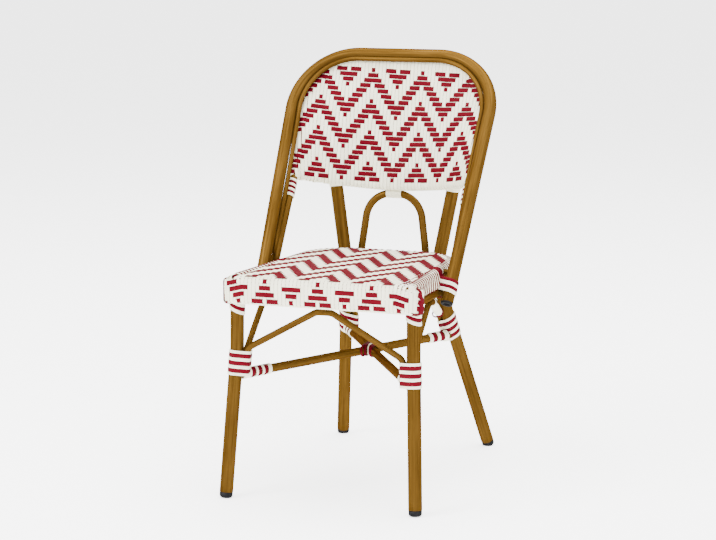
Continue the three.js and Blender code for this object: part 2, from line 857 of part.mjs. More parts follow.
const lowerRail = tube(lowerRailRoute, railRadius);
place("back_lower_rail", cut(lowerRail, [grown.innerHoop]), tubePaint);
place("back_arch", cut(tube(archRoute, archRadius, thinTubeSides), [grown.rim]), tubePaint);

// Braces and stretchers
const frontBrace = tube(frontBraceRoute, braceRadius, thinTubeSides);
place("front_brace", cut(frontBrace, [grown.frontLegs, grown.stretchers]), tubePaint);
const sideBrace = tube(sideBraceRoute, braceRadius, thinTubeSides);
const sideBraceCut = [grown.frontLegs, grown.rearLegs, grown.frontBrace, grown.stretchers, grown.lowerSides];
placePair("side_brace", cut(sideBrace, sideBraceCut), tubePaint);

const stretcherSolid = tube(stretcherRoute, stretcherRadius);
const legCutters = [grown.frontLegs, grown.rearLegs];
place("stretcher_long", cut(stretcherSolid, legCutters), tubePaint);
const otherStretcher = mirroredSolid(stretcherSolid);
const shortPieces = legCutters
  .concat([grown.stretcher])
  .reduce((whole, next) => whole.subtract(next), otherStretcher)
  .decompose()
  .sort((a, b) => b.volume() - a.volume())
  .slice(0, 2)
  .sort((a, b) => a.boundingBox().min[1] - b.boundingBox().min[1]);
place("stretcher_short_front", shortPieces[0], tubePaint);
place("stretcher_short_rear", shortPieces[1], tubePaint);

// Weld pads between the hoops and the seat frame
/** Short bar across from one tube to the next, fitted to both. */
function weldPad(y, z, fromX, toX, cutters) {
  return cut(tube([vector(fromX, y, z), vector(toX, y, z)], padRadius, thinTubeSides), cutters);
}

/** Route of the pad between an upright and the lower rail of the back. */
function uprightPadRoute() {
  const z = lowerRailZAt(rearTopX) - railRadius / 2;
  const upright = pointAtHeight(rearLegRoute, z);
  const railY = behindPanel(upright.x, z, weaveSkin + railRadius).y;
  return [vector(upright.x, railY, z), upright];
}
placePair(
  "upright_pad",
  cut(tube(uprightPadRoute(), padRadius, thinTubeSides), [grown.lowerRail, grown.rearLegs]),
  tubePaint,
);
const uprightPadHoles = both(
  (route) => tube(route, padRadius + clearance, thinTubeSides),
  uprightPadRoute(),
);

const hoopPadPoint = onHoopPlane(hoopLegX(lowerFrontRailZ), lowerFrontRailZ);
const hoopPad = weldPad(hoopPadPoint.y, hoopPadPoint.z, lowerSideRailX, hoopPadPoint.x, [
  grown.hoop,
  grown.lowerSides,
]);
placePair("hoop_pad", hoopPad, tubePaint);
const innerPadZ = rimZ;
const innerPadPoint = pointAtHeight(innerHoopHalf, innerPadZ);
const innerPad = weldPad(innerPadPoint.y, innerPadZ, seatSideX(innerPadPoint.y), innerHoopX, [
  grown.innerHoop,
  grown.rim,
]);
placePair("inner_hoop_pad", innerPad, tubePaint);

/** Flat lug from the crown of the front brace up to the lower front rail. */
function lugBar(growth) {
  const half = padRadius + growth;
  return band(
    vector(-half, frontKneeY, frontBraceTopZ),
    vector(half, frontKneeY, frontBraceTopZ),
    [{ at: vector(-half, frontRailY, lowerFrontRailZ), radius: weaveSkin }],
    weaveSkin,
    growth,
  );
}
const lug = cut(lugBar(0), [
  grown.frontBrace,
  tube(lowerApronRoute, railRadius + clearance),
]);
place("front_brace_lug", lug, tubePaint);

// Woven seat: the top sheet, the wrapped rim, and the apron down to the lower front rail
function planShape(stations) {
  return stations.map((p) => new THREE.Vector2(p.x, p.y));
}

function seatWeave() {
  const plan = [vector(0, frontRailY, 0), vector(seatFrontHalfWidth, frontRailY, 0)];
  plan.push(...seatBackHalf(0));
  const outline = plan.concat(mirroredRoute(plan.slice(1, -1)).reverse());
  const sheet = prism(
    planShape(outline),
    weaveSheet,
    new THREE.Matrix4().makeTranslation(0, 0, seatTop - weaveSheet),
  );
  const rimWrap = rimRing(railRadius + weaveSkin);
  const lowerWrap = tube(lowerApronRoute, railRadius + weaveSkin);
  const crossBarHole = tube(
    [
      vector(-seatFrontHalfWidth, crossBarY, crossBarZ),
      vector(seatFrontHalfWidth, crossBarY, crossBarZ),
    ],
    lowerSideRailRadius + clearance,
    thinTubeSides,
  );
  return cut(joined([sheet, rimWrap, lowerWrap, apronBand(lowerApronRoute)]), [
    rimRing(railRadius + clearance),
    tube(extended(apronRoute, overrun), railRadius + clearance),
    tube(extended(lowerApronRoute, overrun), railRadius + clearance),
    grown.frontLegs,
    grown.rearLegs,
    grown.arch,
    grown.hoop,
    grown.innerHoop,
    grown.trim,
    crossBarHole,
    padHole(innerPadPoint.y, innerPadZ),
    lugBar(clearance),
  ]);
}

function padHole(y, z) {
  const reach = innerHoopX;
  const bar = tube([vector(0, y, z), vector(reach, y, z)], padRadius + clearance, thinTubeSides);
  const keep = boxBetween(
    vector(seatSideX(y), y - 2 * padRadius, z - 2 * padRadius),
    vector(reach, y + 2 * padRadius, z + 2 * padRadius),
  );
  const right = bar.intersect(keep);
  return right.add(mirroredSolid(right));
}

/** Upright wall of the apron round the front and its two corners. */
function apronBand(route) {
  const offset = (distance) =>
    route.map((p, i) => {
      const before = route[Math.max(i - 1, 0)];
      const after = route[Math.min(i + 1, route.length - 1)];
      const along = after.clone().sub(before).normalize();
      return new THREE.Vector2(p.x + along.y * distance, p.y - along.x * distance);
    });
  const outer = offset(railRadius + weaveSkin);
  const inner = offset(railRadius + weaveSkin - weaveSheet);
  const outline = outer.concat(inner.reverse());
  const matrix = new THREE.Matrix4().makeTranslation(0, 0, lowerFrontRailZ);
  return prism(outline, rimZ - apronCornerDrop - lowerFrontRailZ, matrix);
}
place("seat_weave", seatWeave(), creamStrand);

// Woven back
function backWeave() {
  const insideHoop = panelPrism();
  const sheet = panelSlab().intersect(insideHoop);
  const lip = tube(innerHoopRoute, innerHoopRadius + weaveSkin).intersect(insideHoop);
  const railWrap = tube(lowerRailRoute, railRadius + weaveSkin);
  return cut(joined([sheet, lip, railWrap]), [
    grown.innerHoop,
    grown.lowerRail,
    grown.hoop,
    grown.trim,
    grown.rearLegs,
    grown.arch,
    uprightPadHoles,
  ]);
}
place("back_weave", backWeave(), creamStrand);

// Wound bands over the joints
function wrap(name, solid, cutters, finish = redStrand) {
  const piece = cut(solid, cutters);
  place(name, piece, finish);
  return piece;
}

const frontWrapFrom = pointAtHeight(frontLegRoute, frontWrapLow);
const frontWrapTo = pointAtHeight(frontLegRoute, frontWrapLow + frontWrapLength);
const frontBraceAt = pointAtHeight(frontBraceRoute, frontWrapLow + overrun);
const frontMembers = [
  { at: vector(Math.abs(frontBraceAt.x), frontBraceAt.y, frontWrapLow), radius: braceRadius },
  { at: vector(sideBraceX, sideBraceFootY, frontWrapLow), radius: braceRadius },
];
const frontWrapShape = (growth) =>
  band(frontWrapFrom, frontWrapTo, frontMembers, legRadius, wrapThickness + growth);
const jointCutters = [
  grown.frontLegs,
  grown.rearLegs,
  grown.frontBrace,
  grown.sideBraces,
  grown.stretchers,
];
const frontWrap = cut(frontWrapShape(0), jointCutters);
placePair("front_leg_wrap", frontWrap, redStrand);

const rearMembers = [
  { at: vector(rearWrapBase.x - rearInside, rearWrapBase.y, rearWrapBase.z), radius: braceRadius },
];
const rearWrapShape = (growth) =>
  band(rearWrapBase, rearWrapTop, rearMembers, legRadius, wrapThickness + growth);
const rearWrap = cut(rearWrapShape(0), jointCutters);
placePair("rear_leg_wrap", rearWrap, redStrand);

/** Sleeve on a stretcher, next to the leg wrap it grows out of. */
function stretcherWrap(from, towards, length, shape) {
  const start = stepAlong(from, towards, legRadius);
  const end = stepAlong(start, towards, length);
  const sleeve = band(start, end, [], stretcherRadius, wrapThickness);
  return cut(sleeve, [...jointCutters, shape, mirroredSolid(shape)]);
}
const frontSleeve = stretcherWrap(
  stretcherRoute[0],
  stretcherRoute[1],
  frontStretcherWrapLength,
  frontWrapShape(clearance),
);
placePair("front_stretcher_wrap", frontSleeve, redStrand);
const rearSleeve = stretcherWrap(
  stretcherRoute[1],
  stretcherRoute[0],
  rearStretcherWrapLength,
  rearWrapShape(clearance),
);
placePair("rear_stretcher_wrap", mirroredSolid(rearSleeve), redStrand);

/** Cross-shaped band where the stretchers meet, long enough to leave the other stretcher's side. */
function crossingWrap() {
  const run = stretcherRoute[1].clone().sub(stretcherRoute[0]);
  const crossingWrapReach = ((stretcherRadius + wrapThickness) * Math.abs(run.y)) / Math.abs(run.x);
  const arm = (route) => {
    const from = stepAlong(crossing, route[0], crossingWrapReach);
    const to = stepAlong(crossing, route[1], crossingWrapReach);
    return band(from, to, [], stretcherRadius, wrapThickness);
  };
  return cut(arm(stretcherRoute).add(arm(mirroredRoute(stretcherRoute))), [grown.stretchers]);
}
place("crossing_wrap", crossingWrap(), redStrand);

const legTopEnd = pointAtHeight(frontLegRoute, apronBottom + overrun);
const legTopStart = pointAtHeight(frontLegRoute, apronBottom + overrun - legTopWrapLength);
const seatWeaveGrown = [
  tube(extended(lowerApronRoute, overrun), railRadius + weaveSkin + clearance),
  apronBand(extended(lowerApronRoute, overrun)),
];

const legTopWrap = cut(band(legTopStart, legTopEnd, [], legRadius, wrapThickness), [
  ...jointCutters,
  grown.lowerSides,
  ...seatWeaveGrown,
]);
placePair("leg_top_wrap", legTopWrap, redStrand);

const hoopWrapFrom = onHoopPlane(hoopLegX(hoopWrapLow), hoopWrapLow);
const hoopWrapTo = onHoopPlane(hoopLegX(hoopWrapLow + hoopWrapLength), hoopWrapLow + hoopWrapLength);
const hoopWrapMembers = [
  { at: vector(lowerSideRailX + lowerSideRailRadius, hoopWrapFrom.y, hoopWrapFrom.z), radius: railRadius },
];
const hoopWrap = cut(band(hoopWrapFrom, hoopWrapTo, hoopWrapMembers, hoopRadius, wrapThickness), [
  grown.hoop,
  grown.lowerSides,
  grown.sideBraces,
  rimRing(railRadius + weaveSkin + clearance),
  grown.innerHoop,
  grown.trim,
  weldPadGrown(hoopPadPoint.y, hoopPadPoint.z),
  weldPadGrown(innerPadPoint.y, innerPadZ),
]);
placePair("hoop_end_wrap", hoopWrap, redStrand);

function weldPadGrown(y, z) {
  return tube([vector(0, y, z), vector(innerHoopX, y, z)], padRadius + clearance, thinTubeSides);
}

/** Bands on the inner hoop just below the panel. */
function innerHoopWrap() {
  const topZ = lowerRailZAt(innerHoopX) - railRadius - weaveSkin;
  const top = pointAtHeight(innerHoopHalf, topZ);
  const low = pointAtHeight(innerHoopHalf, topZ - innerHoopWrapDrop);
  return cut(band(low, top, [], innerHoopRadius, wrapThickness), [
    grown.innerHoop,
    grown.trim,
    grown.hoop,
    grown.lowerRail,
    tube(lowerRailRoute, railRadius + weaveSkin + clearance),
  ]);
}
placePair("inner_hoop_wrap", innerHoopWrap(), redStrand);

/** Band where an upright meets the lower rail of the back. */
function uprightWrap() {
  const end = pointAtHeight(rearLegRoute, lowerRailZAt(rearTopX) - railRadius);
  const start = stepAlong(end, rearLegRoute[rearLegRoute.length - 2], uprightWrapLength);
  return cut(band(start, end, [], legRadius, wrapThickness), [
    grown.rearLegs,
    uprightPadHoles,
    tube(lowerRailRoute, railRadius + weaveSkin + clearance),
  ]);
}
placePair("upright_wrap", uprightWrap(), creamStrand);

/** Band that ties the arch's crown to the lower rail. */
function archWrap() {
  const crown = vector(-archWrapHalfWidth, archTopY, archTopZ);
  const other = vector(archWrapHalfWidth, archTopY, archTopZ);
  return cut(band(crown, other, [], archRadius, wrapThickness), [
    grown.arch,
    tube(lowerRailRoute, railRadius + weaveSkin + clearance),
  ]);
}
place("arch_wrap", archWrap(), creamStrand);

/** Band that ties a side brace's crown to the lower side rail. */
function sideBraceWrap() {
  const from = vector(sideBraceX, sideBraceTopY - sideBraceWrapLength / 2, sideBraceTopZ);
  const to = vector(sideBraceX, sideBraceTopY + sideBraceWrapLength / 2, sideBraceTopZ);
  const members = [{ at: vector(lowerSideRailX, from.y, lowerFrontRailZ), radius: lowerSideRailRadius }];
  return cut(band(from, to, members, braceRadius, wrapThickness), [
    grown.sideBraces,
    grown.lowerSides,
    grown.hoop,
    rimRing(railRadius + weaveSkin + clearance),
    weldPadGrown(hoopPadPoint.y, hoopPadPoint.z),
    band(hoopWrapFrom, hoopWrapTo, hoopWrapMembers, hoopRadius, wrapThickness + clearance),
  ]);
}
placePair("side_brace_wrap", sideBraceWrap(), creamStrand);

// The origin moves midway between the front and the back of the finished chair
const extent = new THREE.Box3().setFromObject(chair);
chair.position.y = -(extent.min.y + extent.max.y) / 2;
chair.updateMatrixWorld(true);

export default chair;
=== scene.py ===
"""Bistro chair: a bamboo-look tube frame with a hand-woven seat and back.

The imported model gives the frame. The smooth tubes, the weave and the wound bands are made here in
the same places. Lengths are millimetres until a mesh is placed, and then metres.
"""

import json
import logging
import math
from dataclasses import dataclass, field, replace
from enum import Enum
from typing import Callable, Iterable, Sequence

import bmesh
import bpy
import numpy as np
from mathutils import Matrix, Vector


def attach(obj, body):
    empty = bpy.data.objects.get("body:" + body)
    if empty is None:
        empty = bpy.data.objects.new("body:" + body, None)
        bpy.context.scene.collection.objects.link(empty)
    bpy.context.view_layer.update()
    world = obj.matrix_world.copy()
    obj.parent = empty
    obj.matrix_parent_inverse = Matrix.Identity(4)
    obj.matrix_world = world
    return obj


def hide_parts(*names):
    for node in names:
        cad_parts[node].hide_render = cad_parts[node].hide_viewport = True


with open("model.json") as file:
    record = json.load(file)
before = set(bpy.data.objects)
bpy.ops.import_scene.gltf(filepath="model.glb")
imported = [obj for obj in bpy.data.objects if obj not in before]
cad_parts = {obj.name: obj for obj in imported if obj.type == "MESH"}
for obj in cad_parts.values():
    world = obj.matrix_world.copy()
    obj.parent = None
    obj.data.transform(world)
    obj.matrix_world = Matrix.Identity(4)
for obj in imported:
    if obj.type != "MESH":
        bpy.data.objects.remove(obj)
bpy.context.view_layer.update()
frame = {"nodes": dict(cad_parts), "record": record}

LOG = logging.getLogger("bistro_chair")

MM = 0.001
# The pack moved the design by this much in Y, to set it over the origin
CENTRING_Y = -0.615
# Sockets of a colour Mix node: its factor, its two colours and its result
MIX_FACTOR, MIX_FIRST, MIX_SECOND, MIX_RESULT = 0, 6, 7, 2
# Steps between the grain coordinates of neighbours, so that no two look alike
TUBE_GRAIN_STEP, TUBE_GRAIN_STEPS = 1000.0, 17
RIBBON_GRAIN_STEP = 37.0
TURN_GRAIN_STEP = 11.0
TURN_GRAIN_RADIUS = 12.0
# Stations of a rounded line are never much further apart than this
LONGEST_SPAN = 30.0
# Below these a turn is straight, two places are one and a length is nothing
STRAIGHT_ANGLE = 1e-4
SAME_PLACE = 1e-4
TINY = 1e-12
# Cosines from which a direction counts as parallel to another, or as sideways
NEARLY_PARALLEL = 0.9
MOSTLY_SIDEWAYS = 0.7
# Rounds in which a place on the back's bowl is worked out
SOLVER_ROUNDS = 6
SIDES = ((1, "left"), (-1, "right"))

Point = np.ndarray
Points = np.ndarray
Place = tuple[float, float, float]
Tone = tuple[float, float, float]
Stops = Sequence[tuple[float, Tone]]
Shares = tuple[float, ...]
Socket = bpy.types.NodeSocket


class Colour(Enum):
    """Colours of strand and strip."""

    CREAM = "cream"
    RED = "red"


class Ribbon(Enum):
    """Kinds of ribbon in a woven sheet: strands run along it and strips across."""

    STRAND = "strand"
    STRIP = "strip"


class Slot(Enum):
    """Material slots of the record."""

    PAINT = "bamboo_look_paint"
    WOVEN = "woven_strand"
    WOUND = "wound_strand"
    PLASTIC = "black_plastic"


CREAM, RED = Colour.CREAM, Colour.RED


def vec(x: float, y: float, z: float) -> Point:
    """A point or direction as an array."""
    return np.array([x, y, z], float)


UP = vec(0, 0, 1)


def unit(v: Points) -> Points:
    """Vectors scaled to length one."""
    return v / np.maximum(np.linalg.norm(v, axis=-1, keepdims=True), TINY)


# Finishes


@dataclass(frozen=True)
class Mottle:
    """Noise over a surface, on the piece's own grain coordinates or else on Object coordinates."""

    stretch: Tone
    scale: float
    detail: float
    own_grain: bool = True


class NodeBoard:
    """A material's node tree with short ways to add and join nodes."""

    def __init__(self, name: str) -> None:
        """Starts a material with a principled shader.

        Args:
            name: the material's name.
        """
        self.material = bpy.data.materials.new(name)
        self.material.use_nodes = True
        self.nodes = self.material.node_tree.nodes
        self.links = self.material.node_tree.links
        self.shader = next(n for n in self.nodes if n.type == "BSDF_PRINCIPLED")

    def add(self, kind: str, **settings: object) -> bpy.types.Node:
        """Adds a node.

        Args:
            kind: the node's type name.
            settings: properties of the node.

        Returns:
            The new node.
        """
        node = self.nodes.new(kind)
        for key, value in settings.items():
            setattr(node, key, value)
        return node

    def join(self, source: Socket, target: Socket) -> None:
        """Joins two sockets."""
        self.links.new(source, target)

    def fill(self, name: str, value: float | Sequence[float]) -> None:
        """Sets one of the shader's own values."""
        self.shader.inputs[name].default_value = value

    def mottle(self, mottle: Mottle) -> Socket:
        """Adds a noise over the surface.

        Args:
            mottle: how it is stretched and how fine it is.

        Returns:
            The noise's value socket.
        """
        if mottle.own_grain:
            source = self.add("ShaderNodeAttribute", attribute_name="grain").outputs["Vector"]
        else:
            source = self.add("ShaderNodeTexCoord").outputs["Object"]
        mapping = self.add("ShaderNodeMapping")
        mapping.inputs["Scale"].default_value = mottle.stretch
        self.join(source, mapping.inputs["Vector"])
        noise = self.add("ShaderNodeTexNoise")
        noise.inputs["Scale"].default_value = mottle.scale
        noise.inputs["Detail"].default_value = mottle.detail
        self.join(mapping.outputs["Vector"], noise.inputs["Vector"])
        return noise.outputs["Fac"]

    def ramp(self, factor: Socket, stops: Stops) -> Socket:
        """Adds colours along a factor.

        Args:
            factor: the value that picks the colour.
            stops: places from 0 to 1, each with a colour.

        Returns:
            The ramp's colour socket.
        """
        node = self.add("ShaderNodeValToRGB")
        elements = node.color_ramp.elements
        while len(elements) < len(stops):
            elements.new(0.5)
        for element, (place, colour) in zip(elements, stops):
            element.position = place
            element.color = (*colour, 1.0)
        self.join(factor, node.inputs["Fac"])
        return node.outputs["Color"]

    def multiply(self, share: float, first: Socket, second: Socket) -> Socket:
        """Multiplies one colour by another.

        Args:
            share: how far the second colour is felt.
            first: the colour.
            second: what it is multiplied by.

        Returns:
            The result's colour socket.
        """
        node = self.add("ShaderNodeMix", data_type="RGBA", blend_type="MULTIPLY")
        node.inputs[MIX_FACTOR].default_value = share
        self.join(first, node.inputs[MIX_FIRST])
        self.join(second, node.inputs[MIX_SECOND])
        return node.outputs[MIX_RESULT]

    def bump(self, height: Socket, depth: float, strength: float) -> None:
        """Gives the shader a bump.

        Args:
            height: the height socket.
            depth: how deep the bump is, in metres.
            strength: how strongly it shows.
        """
        node = self.add("ShaderNodeBump")
        node.inputs["Strength"].default_value = strength
        node.inputs["Distance"].default_value = depth
        self.join(height, node.inputs["Height"])
        self.join(node.outputs["Normal"], self.shader.inputs["Normal"])

    def rough(self, factor: Socket, low: float, high: float) -> None:
        """Varies the roughness with a factor.

        Args:
            factor: a value from 0 to 1.
            low: the roughness at 0.
            high: the roughness at 1.
        """
        node = self.add("ShaderNodeMapRange")
        node.inputs["To Min"].default_value = low
        node.inputs["To Max"].default_value = high
        self.join(factor, node.inputs["Value"])
        self.join(node.outputs["Result"], self.shader.inputs["Roughness"])


@dataclass(frozen=True)
class Finish:
    """Tones along a fine mottle, shaded by a broad one, with roughness and relief.

    Attributes:
        name: the material's name.
        fine: the mottle that picks the tone and the roughness.
        tones: places on the fine mottle, each with its colour.
        roughness: the roughness at both ends of the fine mottle.
        relief: the relief's depth in metres and its strength.
        relief_mottle: the relief's own mottle, where it isn't the fine one.
        broad: the mottle that shades the colour, if there is one.
        shades: places on the broad mottle, each with what it multiplies the colour by.
        shade_share: how far the shades are felt.
        specular: the specular level.
        metallic: the metallic share.
        tint: the colour of the reflection.
    """

    name: str
    fine: Mottle
    tones: Stops
    roughness: tuple[float, float]
    relief: tuple[float, float]
    relief_mottle: Mottle | None = None
    broad: Mottle | None = None
    shades: Stops = ()
    shade_share: float = 0.0
    specular: float = 0.0
    metallic: float = 0.0
    tint: Tone = (1.0, 1.0, 1.0)

    def build(self) -> bpy.types.Material:
        """Returns the finish's material."""
        board = NodeBoard(self.name)
        fine = board.mottle(self.fine)
        colour = board.ramp(fine, self.tones)
        if self.broad:
            shade = board.ramp(board.mottle(self.broad), self.shades)
            colour = board.multiply(self.shade_share, colour, shade)
        board.join(colour, board.shader.inputs["Base Color"])
        board.rough(fine, *self.roughness)
        board.bump(board.mottle(self.relief_mottle) if self.relief_mottle else fine, *self.relief)
        board.fill("Metallic", self.metallic)
        board.fill("Specular IOR Level", self.specular)
        board.fill("Specular Tint", (*self.tint, 1.0))
        return board.material


# Golden-brown paint, brushed along the tube in streaks and worn in clouds
BAMBOO_PAINT = Finish(
    name="bamboo_look_paint",
    fine=Mottle((1.0, 1.0, 0.035), 260.0, 4.0),
    tones=((0.22, (0.052, 0.024, 0.004)), (0.48, (0.090, 0.045, 0.008)), (0.75, (0.128, 0.066, 0.013))),
    roughness=(0.40, 0.28),
    relief=(0.00012, 0.5),
    broad=Mottle((1.0, 1.0, 0.35), 32.0, 2.0),
    shades=((0.35, (0.72, 0.70, 0.66)), (0.65, (1.08, 1.08, 1.1))),
    shade_share=0.55,
    metallic=0.4,
    tint=(0.50, 0.28, 0.06),
)

# The same paint on the bars that the model brings along
HIDDEN_PAINT = Finish(
    name="bamboo_look_paint_hidden",
    fine=Mottle((1.0, 1.0, 1.0), 90.0, 4.0, own_grain=False),
    tones=((0.35, (0.054, 0.025, 0.004)), (0.6, (0.090, 0.045, 0.008))),
    roughness=(0.45, 0.35),
    relief=(0.0001, 0.4),
    metallic=0.4,
)

# Cream plastic strand with fine lines drawn along it
CREAM_STRAND = Finish(
    name="cream_strand",
    fine=Mottle((1.0, 0.02, 1.0), 900.0, 2.0),
    tones=((0.3, (0.74, 0.71, 0.55)), (0.6, (0.86, 0.83, 0.65))),
    roughness=(0.63, 0.49),
    relief=(0.0001, 0.3),
    broad=Mottle((1.0, 0.5, 1.0), 55.0, 2.0),
    shades=((0.35, (0.86, 0.85, 0.83)), (0.62, (1.04, 1.04, 1.04))),
    shade_share=0.6,
    specular=0.08,
)

# Red plastic strip of the same make
RED_STRIP = replace(
    CREAM_STRAND,
    name="red_strip",
    tones=((0.3, (0.070, 0.0008, 0.0048)), (0.6, (0.094, 0.0011, 0.0066))),
    roughness=(0.58, 0.44),
    relief=(0.0001, 0.2),
    specular=0.03,
)

# Black moulded plastic with a fine sparked grain and scuffs
BLACK_PLASTIC = Finish(
    name="black_plastic",
    fine=Mottle((1.0, 1.0, 1.0), 120.0, 3.0, own_grain=False),
    tones=((0.4, (0.005, 0.005, 0.006)), (0.75, (0.012, 0.012, 0.013))),
    roughness=(0.42, 0.62),
    relief=(0.00006, 0.5),
    relief_mottle=Mottle((1.0, 1.0, 1.0), 1800.0, 2.0, own_grain=False),
    specular=0.12,
)


@dataclass(frozen=True)
class StudioFloor:
    """Pale seamless studio floor, which glows a little."""

    name: str = "studio_floor"
    base: Tone = (0.95, 0.95, 0.95)
    roughness: float = 0.9
    glow: float = 2.6

    def build(self) -> bpy.types.Material:
        """Returns the floor's material."""
        board = NodeBoard(self.name)
        board.fill("Base Color", (*self.base, 1.0))
        board.fill("Roughness", self.roughness)
        board.fill("Specular IOR Level", 0.0)
        board.fill("Emission Color", (1.0, 1.0, 1.0, 1.0))
        board.fill("Emission Strength", self.glow)
        return board.material


class Wardrobe:
    """The finishes of the chair, each built once."""

    def __init__(self) -> None:
        """Builds every finish."""
        self.paint = BAMBOO_PAINT.build()
        self.hidden_paint = HIDDEN_PAINT.build()
        self.strands = {CREAM: CREAM_STRAND.build(), RED: RED_STRIP.build()}
        self.plastic = BLACK_PLASTIC.build()


# Routes and meshes


class Route:
    """A smooth centre line with its own frame at every station."""

    def __init__(self, stations: Points, across: Point | None = None) -> None:
        """Measures a centre line.

        Args:
            stations: points along the line.
            across: a direction that the first frame's first axis leans to.
        """
        self.stations = np.asarray(stations, float)
        steps = np.linalg.norm(np.diff(self.stations, axis=0), axis=1)
        self.lengths = np.concatenate([[0.0], np.cumsum(steps)])
        self.tangents = unit(np.gradient(self.stations, axis=0))
        start = vec(1, 0, 0) if across is None else across
        if abs(self.tangents[0] @ unit(start)) > NEARLY_PARALLEL:
            start = vec(0, 1, 0)
        first = [unit(start - self.tangents[0] * (start @ self.tangents[0]))]
        for tangent in self.tangents[1:]:
            carried = first[-1] - tangent * (first[-1] @ tangent)
            first.append(unit(carried))
        self.first = np.array(first)
        self.second = np.cross(self.tangents, self.first)

    @property
    def length(self) -> float:
        """The line's length."""
        return float(self.lengths[-1])

    def at(self, distance: Points) -> tuple[Points, Points, Points, Points]:
        """Places on the line.

        Args:
            distance: distances from its start.

        Returns:
            Points, tangents, and the first and second axes of the frame there.
        """
        parts = []
        for values in (self.stations, self.tangents, self.first, self.second):
            columns = [np.interp(distance, self.lengths, values[:, k]) for k in range(3)]
            parts.append(np.stack(columns, axis=-1))
        return parts[0], unit(parts[1]), unit(parts[2]), unit(parts[3])

    def at_height(self, z: float) -> Point:
        """Finds a height on the line.

        Args:
            z: the height.

        Returns:
            The first point there, or the line's start if it doesn't reach it.
        """
        heights = self.stations[:, 2]
        for i in range(1, len(heights)):
            low, high = heights[i - 1] - z, heights[i] - z
            if low * high <= 0 and low != high:
                share = low / (low - high)
                return self.stations[i - 1] * (1 - share) + self.stations[i] * share
        return self.stations[0]


def rounded(corners: Sequence[Point], bends: Sequence[float], step: float = 2.5) -> Points:
    """Stations of a line whose corners are rounded.

    Args:
        corners: the corner points.
        bends: the bend radius at each inner corner.
        step: the spacing of the stations round a bend, in degrees.

    Returns:
        The stations.
    """
    corners = [np.asarray(c, float) for c in corners]
    line = [corners[0]]
    for i, bend in enumerate(bends, start=1):
        back = unit(corners[i - 1] - corners[i])
        ahead = unit(corners[i + 1] - corners[i])
        turn = math.pi - math.acos(float(np.clip(back @ ahead, -1, 1)))
        if turn < STRAIGHT_ANGLE:
            line.append(corners[i])
            continue
        middle = unit(back + ahead)
        centre = corners[i] + middle * bend / math.cos(turn / 2)
        start = corners[i] + back * bend * math.tan(turn / 2) - centre
        sideways = -back
        count = max(2, math.ceil(math.degrees(turn) / step))
        for k in range(count + 1):
            angle = turn * k / count
            line.append(centre + start * math.cos(angle) + sideways * bend * math.sin(angle))
    line.append(corners[-1])
    dense = [line[0]]
    for a, b in zip(line[:-1], line[1:]):
        pieces = max(1, int(np.linalg.norm(b - a) / LONGEST_SPAN))
        dense += [a + (b - a) * k / pieces for k in range(1, pieces + 1)]
    return np.array(dense)


def mirrored(stations: Points) -> Points:
    """Stations on the other side of the mirror plane."""
    return np.asarray(stations) * [-1, 1, 1]


def on_side(points: Points, side: int) -> Points:
    """Points of the left side, as they are for side 1 and mirrored for side -1."""
    return mirrored(points) if side < 0 else points


def whole(half: Points) -> Points:
    """A line across the mirror plane, from its half that starts on the plane."""
    return np.vstack([mirrored(half)[::-1], half[1:]])


def place(points: Points) -> Points:
    """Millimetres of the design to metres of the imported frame."""
    return (np.asarray(points, float) + [0, CENTRING_Y, 0]) * MM


def finish_piece(
    name: str,
    mesh: bpy.types.Mesh,
    points: Points,
    grain: Points,
    material: bpy.types.Material,
    nodes: Iterable[str],
) -> bpy.types.Object:
    """Moves a mesh's points into place and makes it a piece of the chair.

    Args:
        name: the piece's name.
        mesh: its mesh.
        points: where its vertices go, in millimetres.
        grain: its own coordinates at the vertices, in millimetres.
        material: its finish.
        nodes: the nodes that it stands for.

    Returns:
        The piece.
    """
    mesh.vertices.foreach_set("co", place(points).astype(np.float32).ravel())
    layer = mesh.attributes.new("grain", "FLOAT_VECTOR", "POINT")
    layer.data.foreach_set("vector", (np.asarray(grain) * MM).astype(np.float32).ravel())
    work = bmesh.new()
    work.from_mesh(mesh)
    bmesh.ops.recalc_face_normals(work, faces=work.faces)
    for face in work.faces:
        face.smooth = True
    work.to_mesh(mesh)
    work.free()
    mesh.materials.append(material)
    piece = bpy.data.objects.new(name, mesh)
    bpy.context.scene.collection.objects.link(piece)
    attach(piece, "root")
    if nodes:
        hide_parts(*nodes)
    LOG.info("%s: %d faces", name, len(mesh.polygons))
    return piece


def mesh_of(work: bmesh.types.BMesh, name: str) -> tuple[bpy.types.Mesh, Points]:
    """Turns a bmesh into a mesh.

    Args:
        work: the bmesh, which is freed.
        name: the mesh's name.

    Returns:
        The mesh and its vertices.
    """
    mesh = bpy.data.meshes.new(name)
    work.to_mesh(mesh)
    work.free()
    flat = np.zeros(len(mesh.vertices) * 3, np.float32)
    mesh.vertices.foreach_get("co", flat)
    return mesh, flat.reshape(-1, 3).astype(float)


def straight(start: Point, end: Point, spans: int) -> Points:
    """Stations of a straight line, cut into equal spans."""
    return np.array([start + (end - start) * k / spans for k in range(spans + 1)])


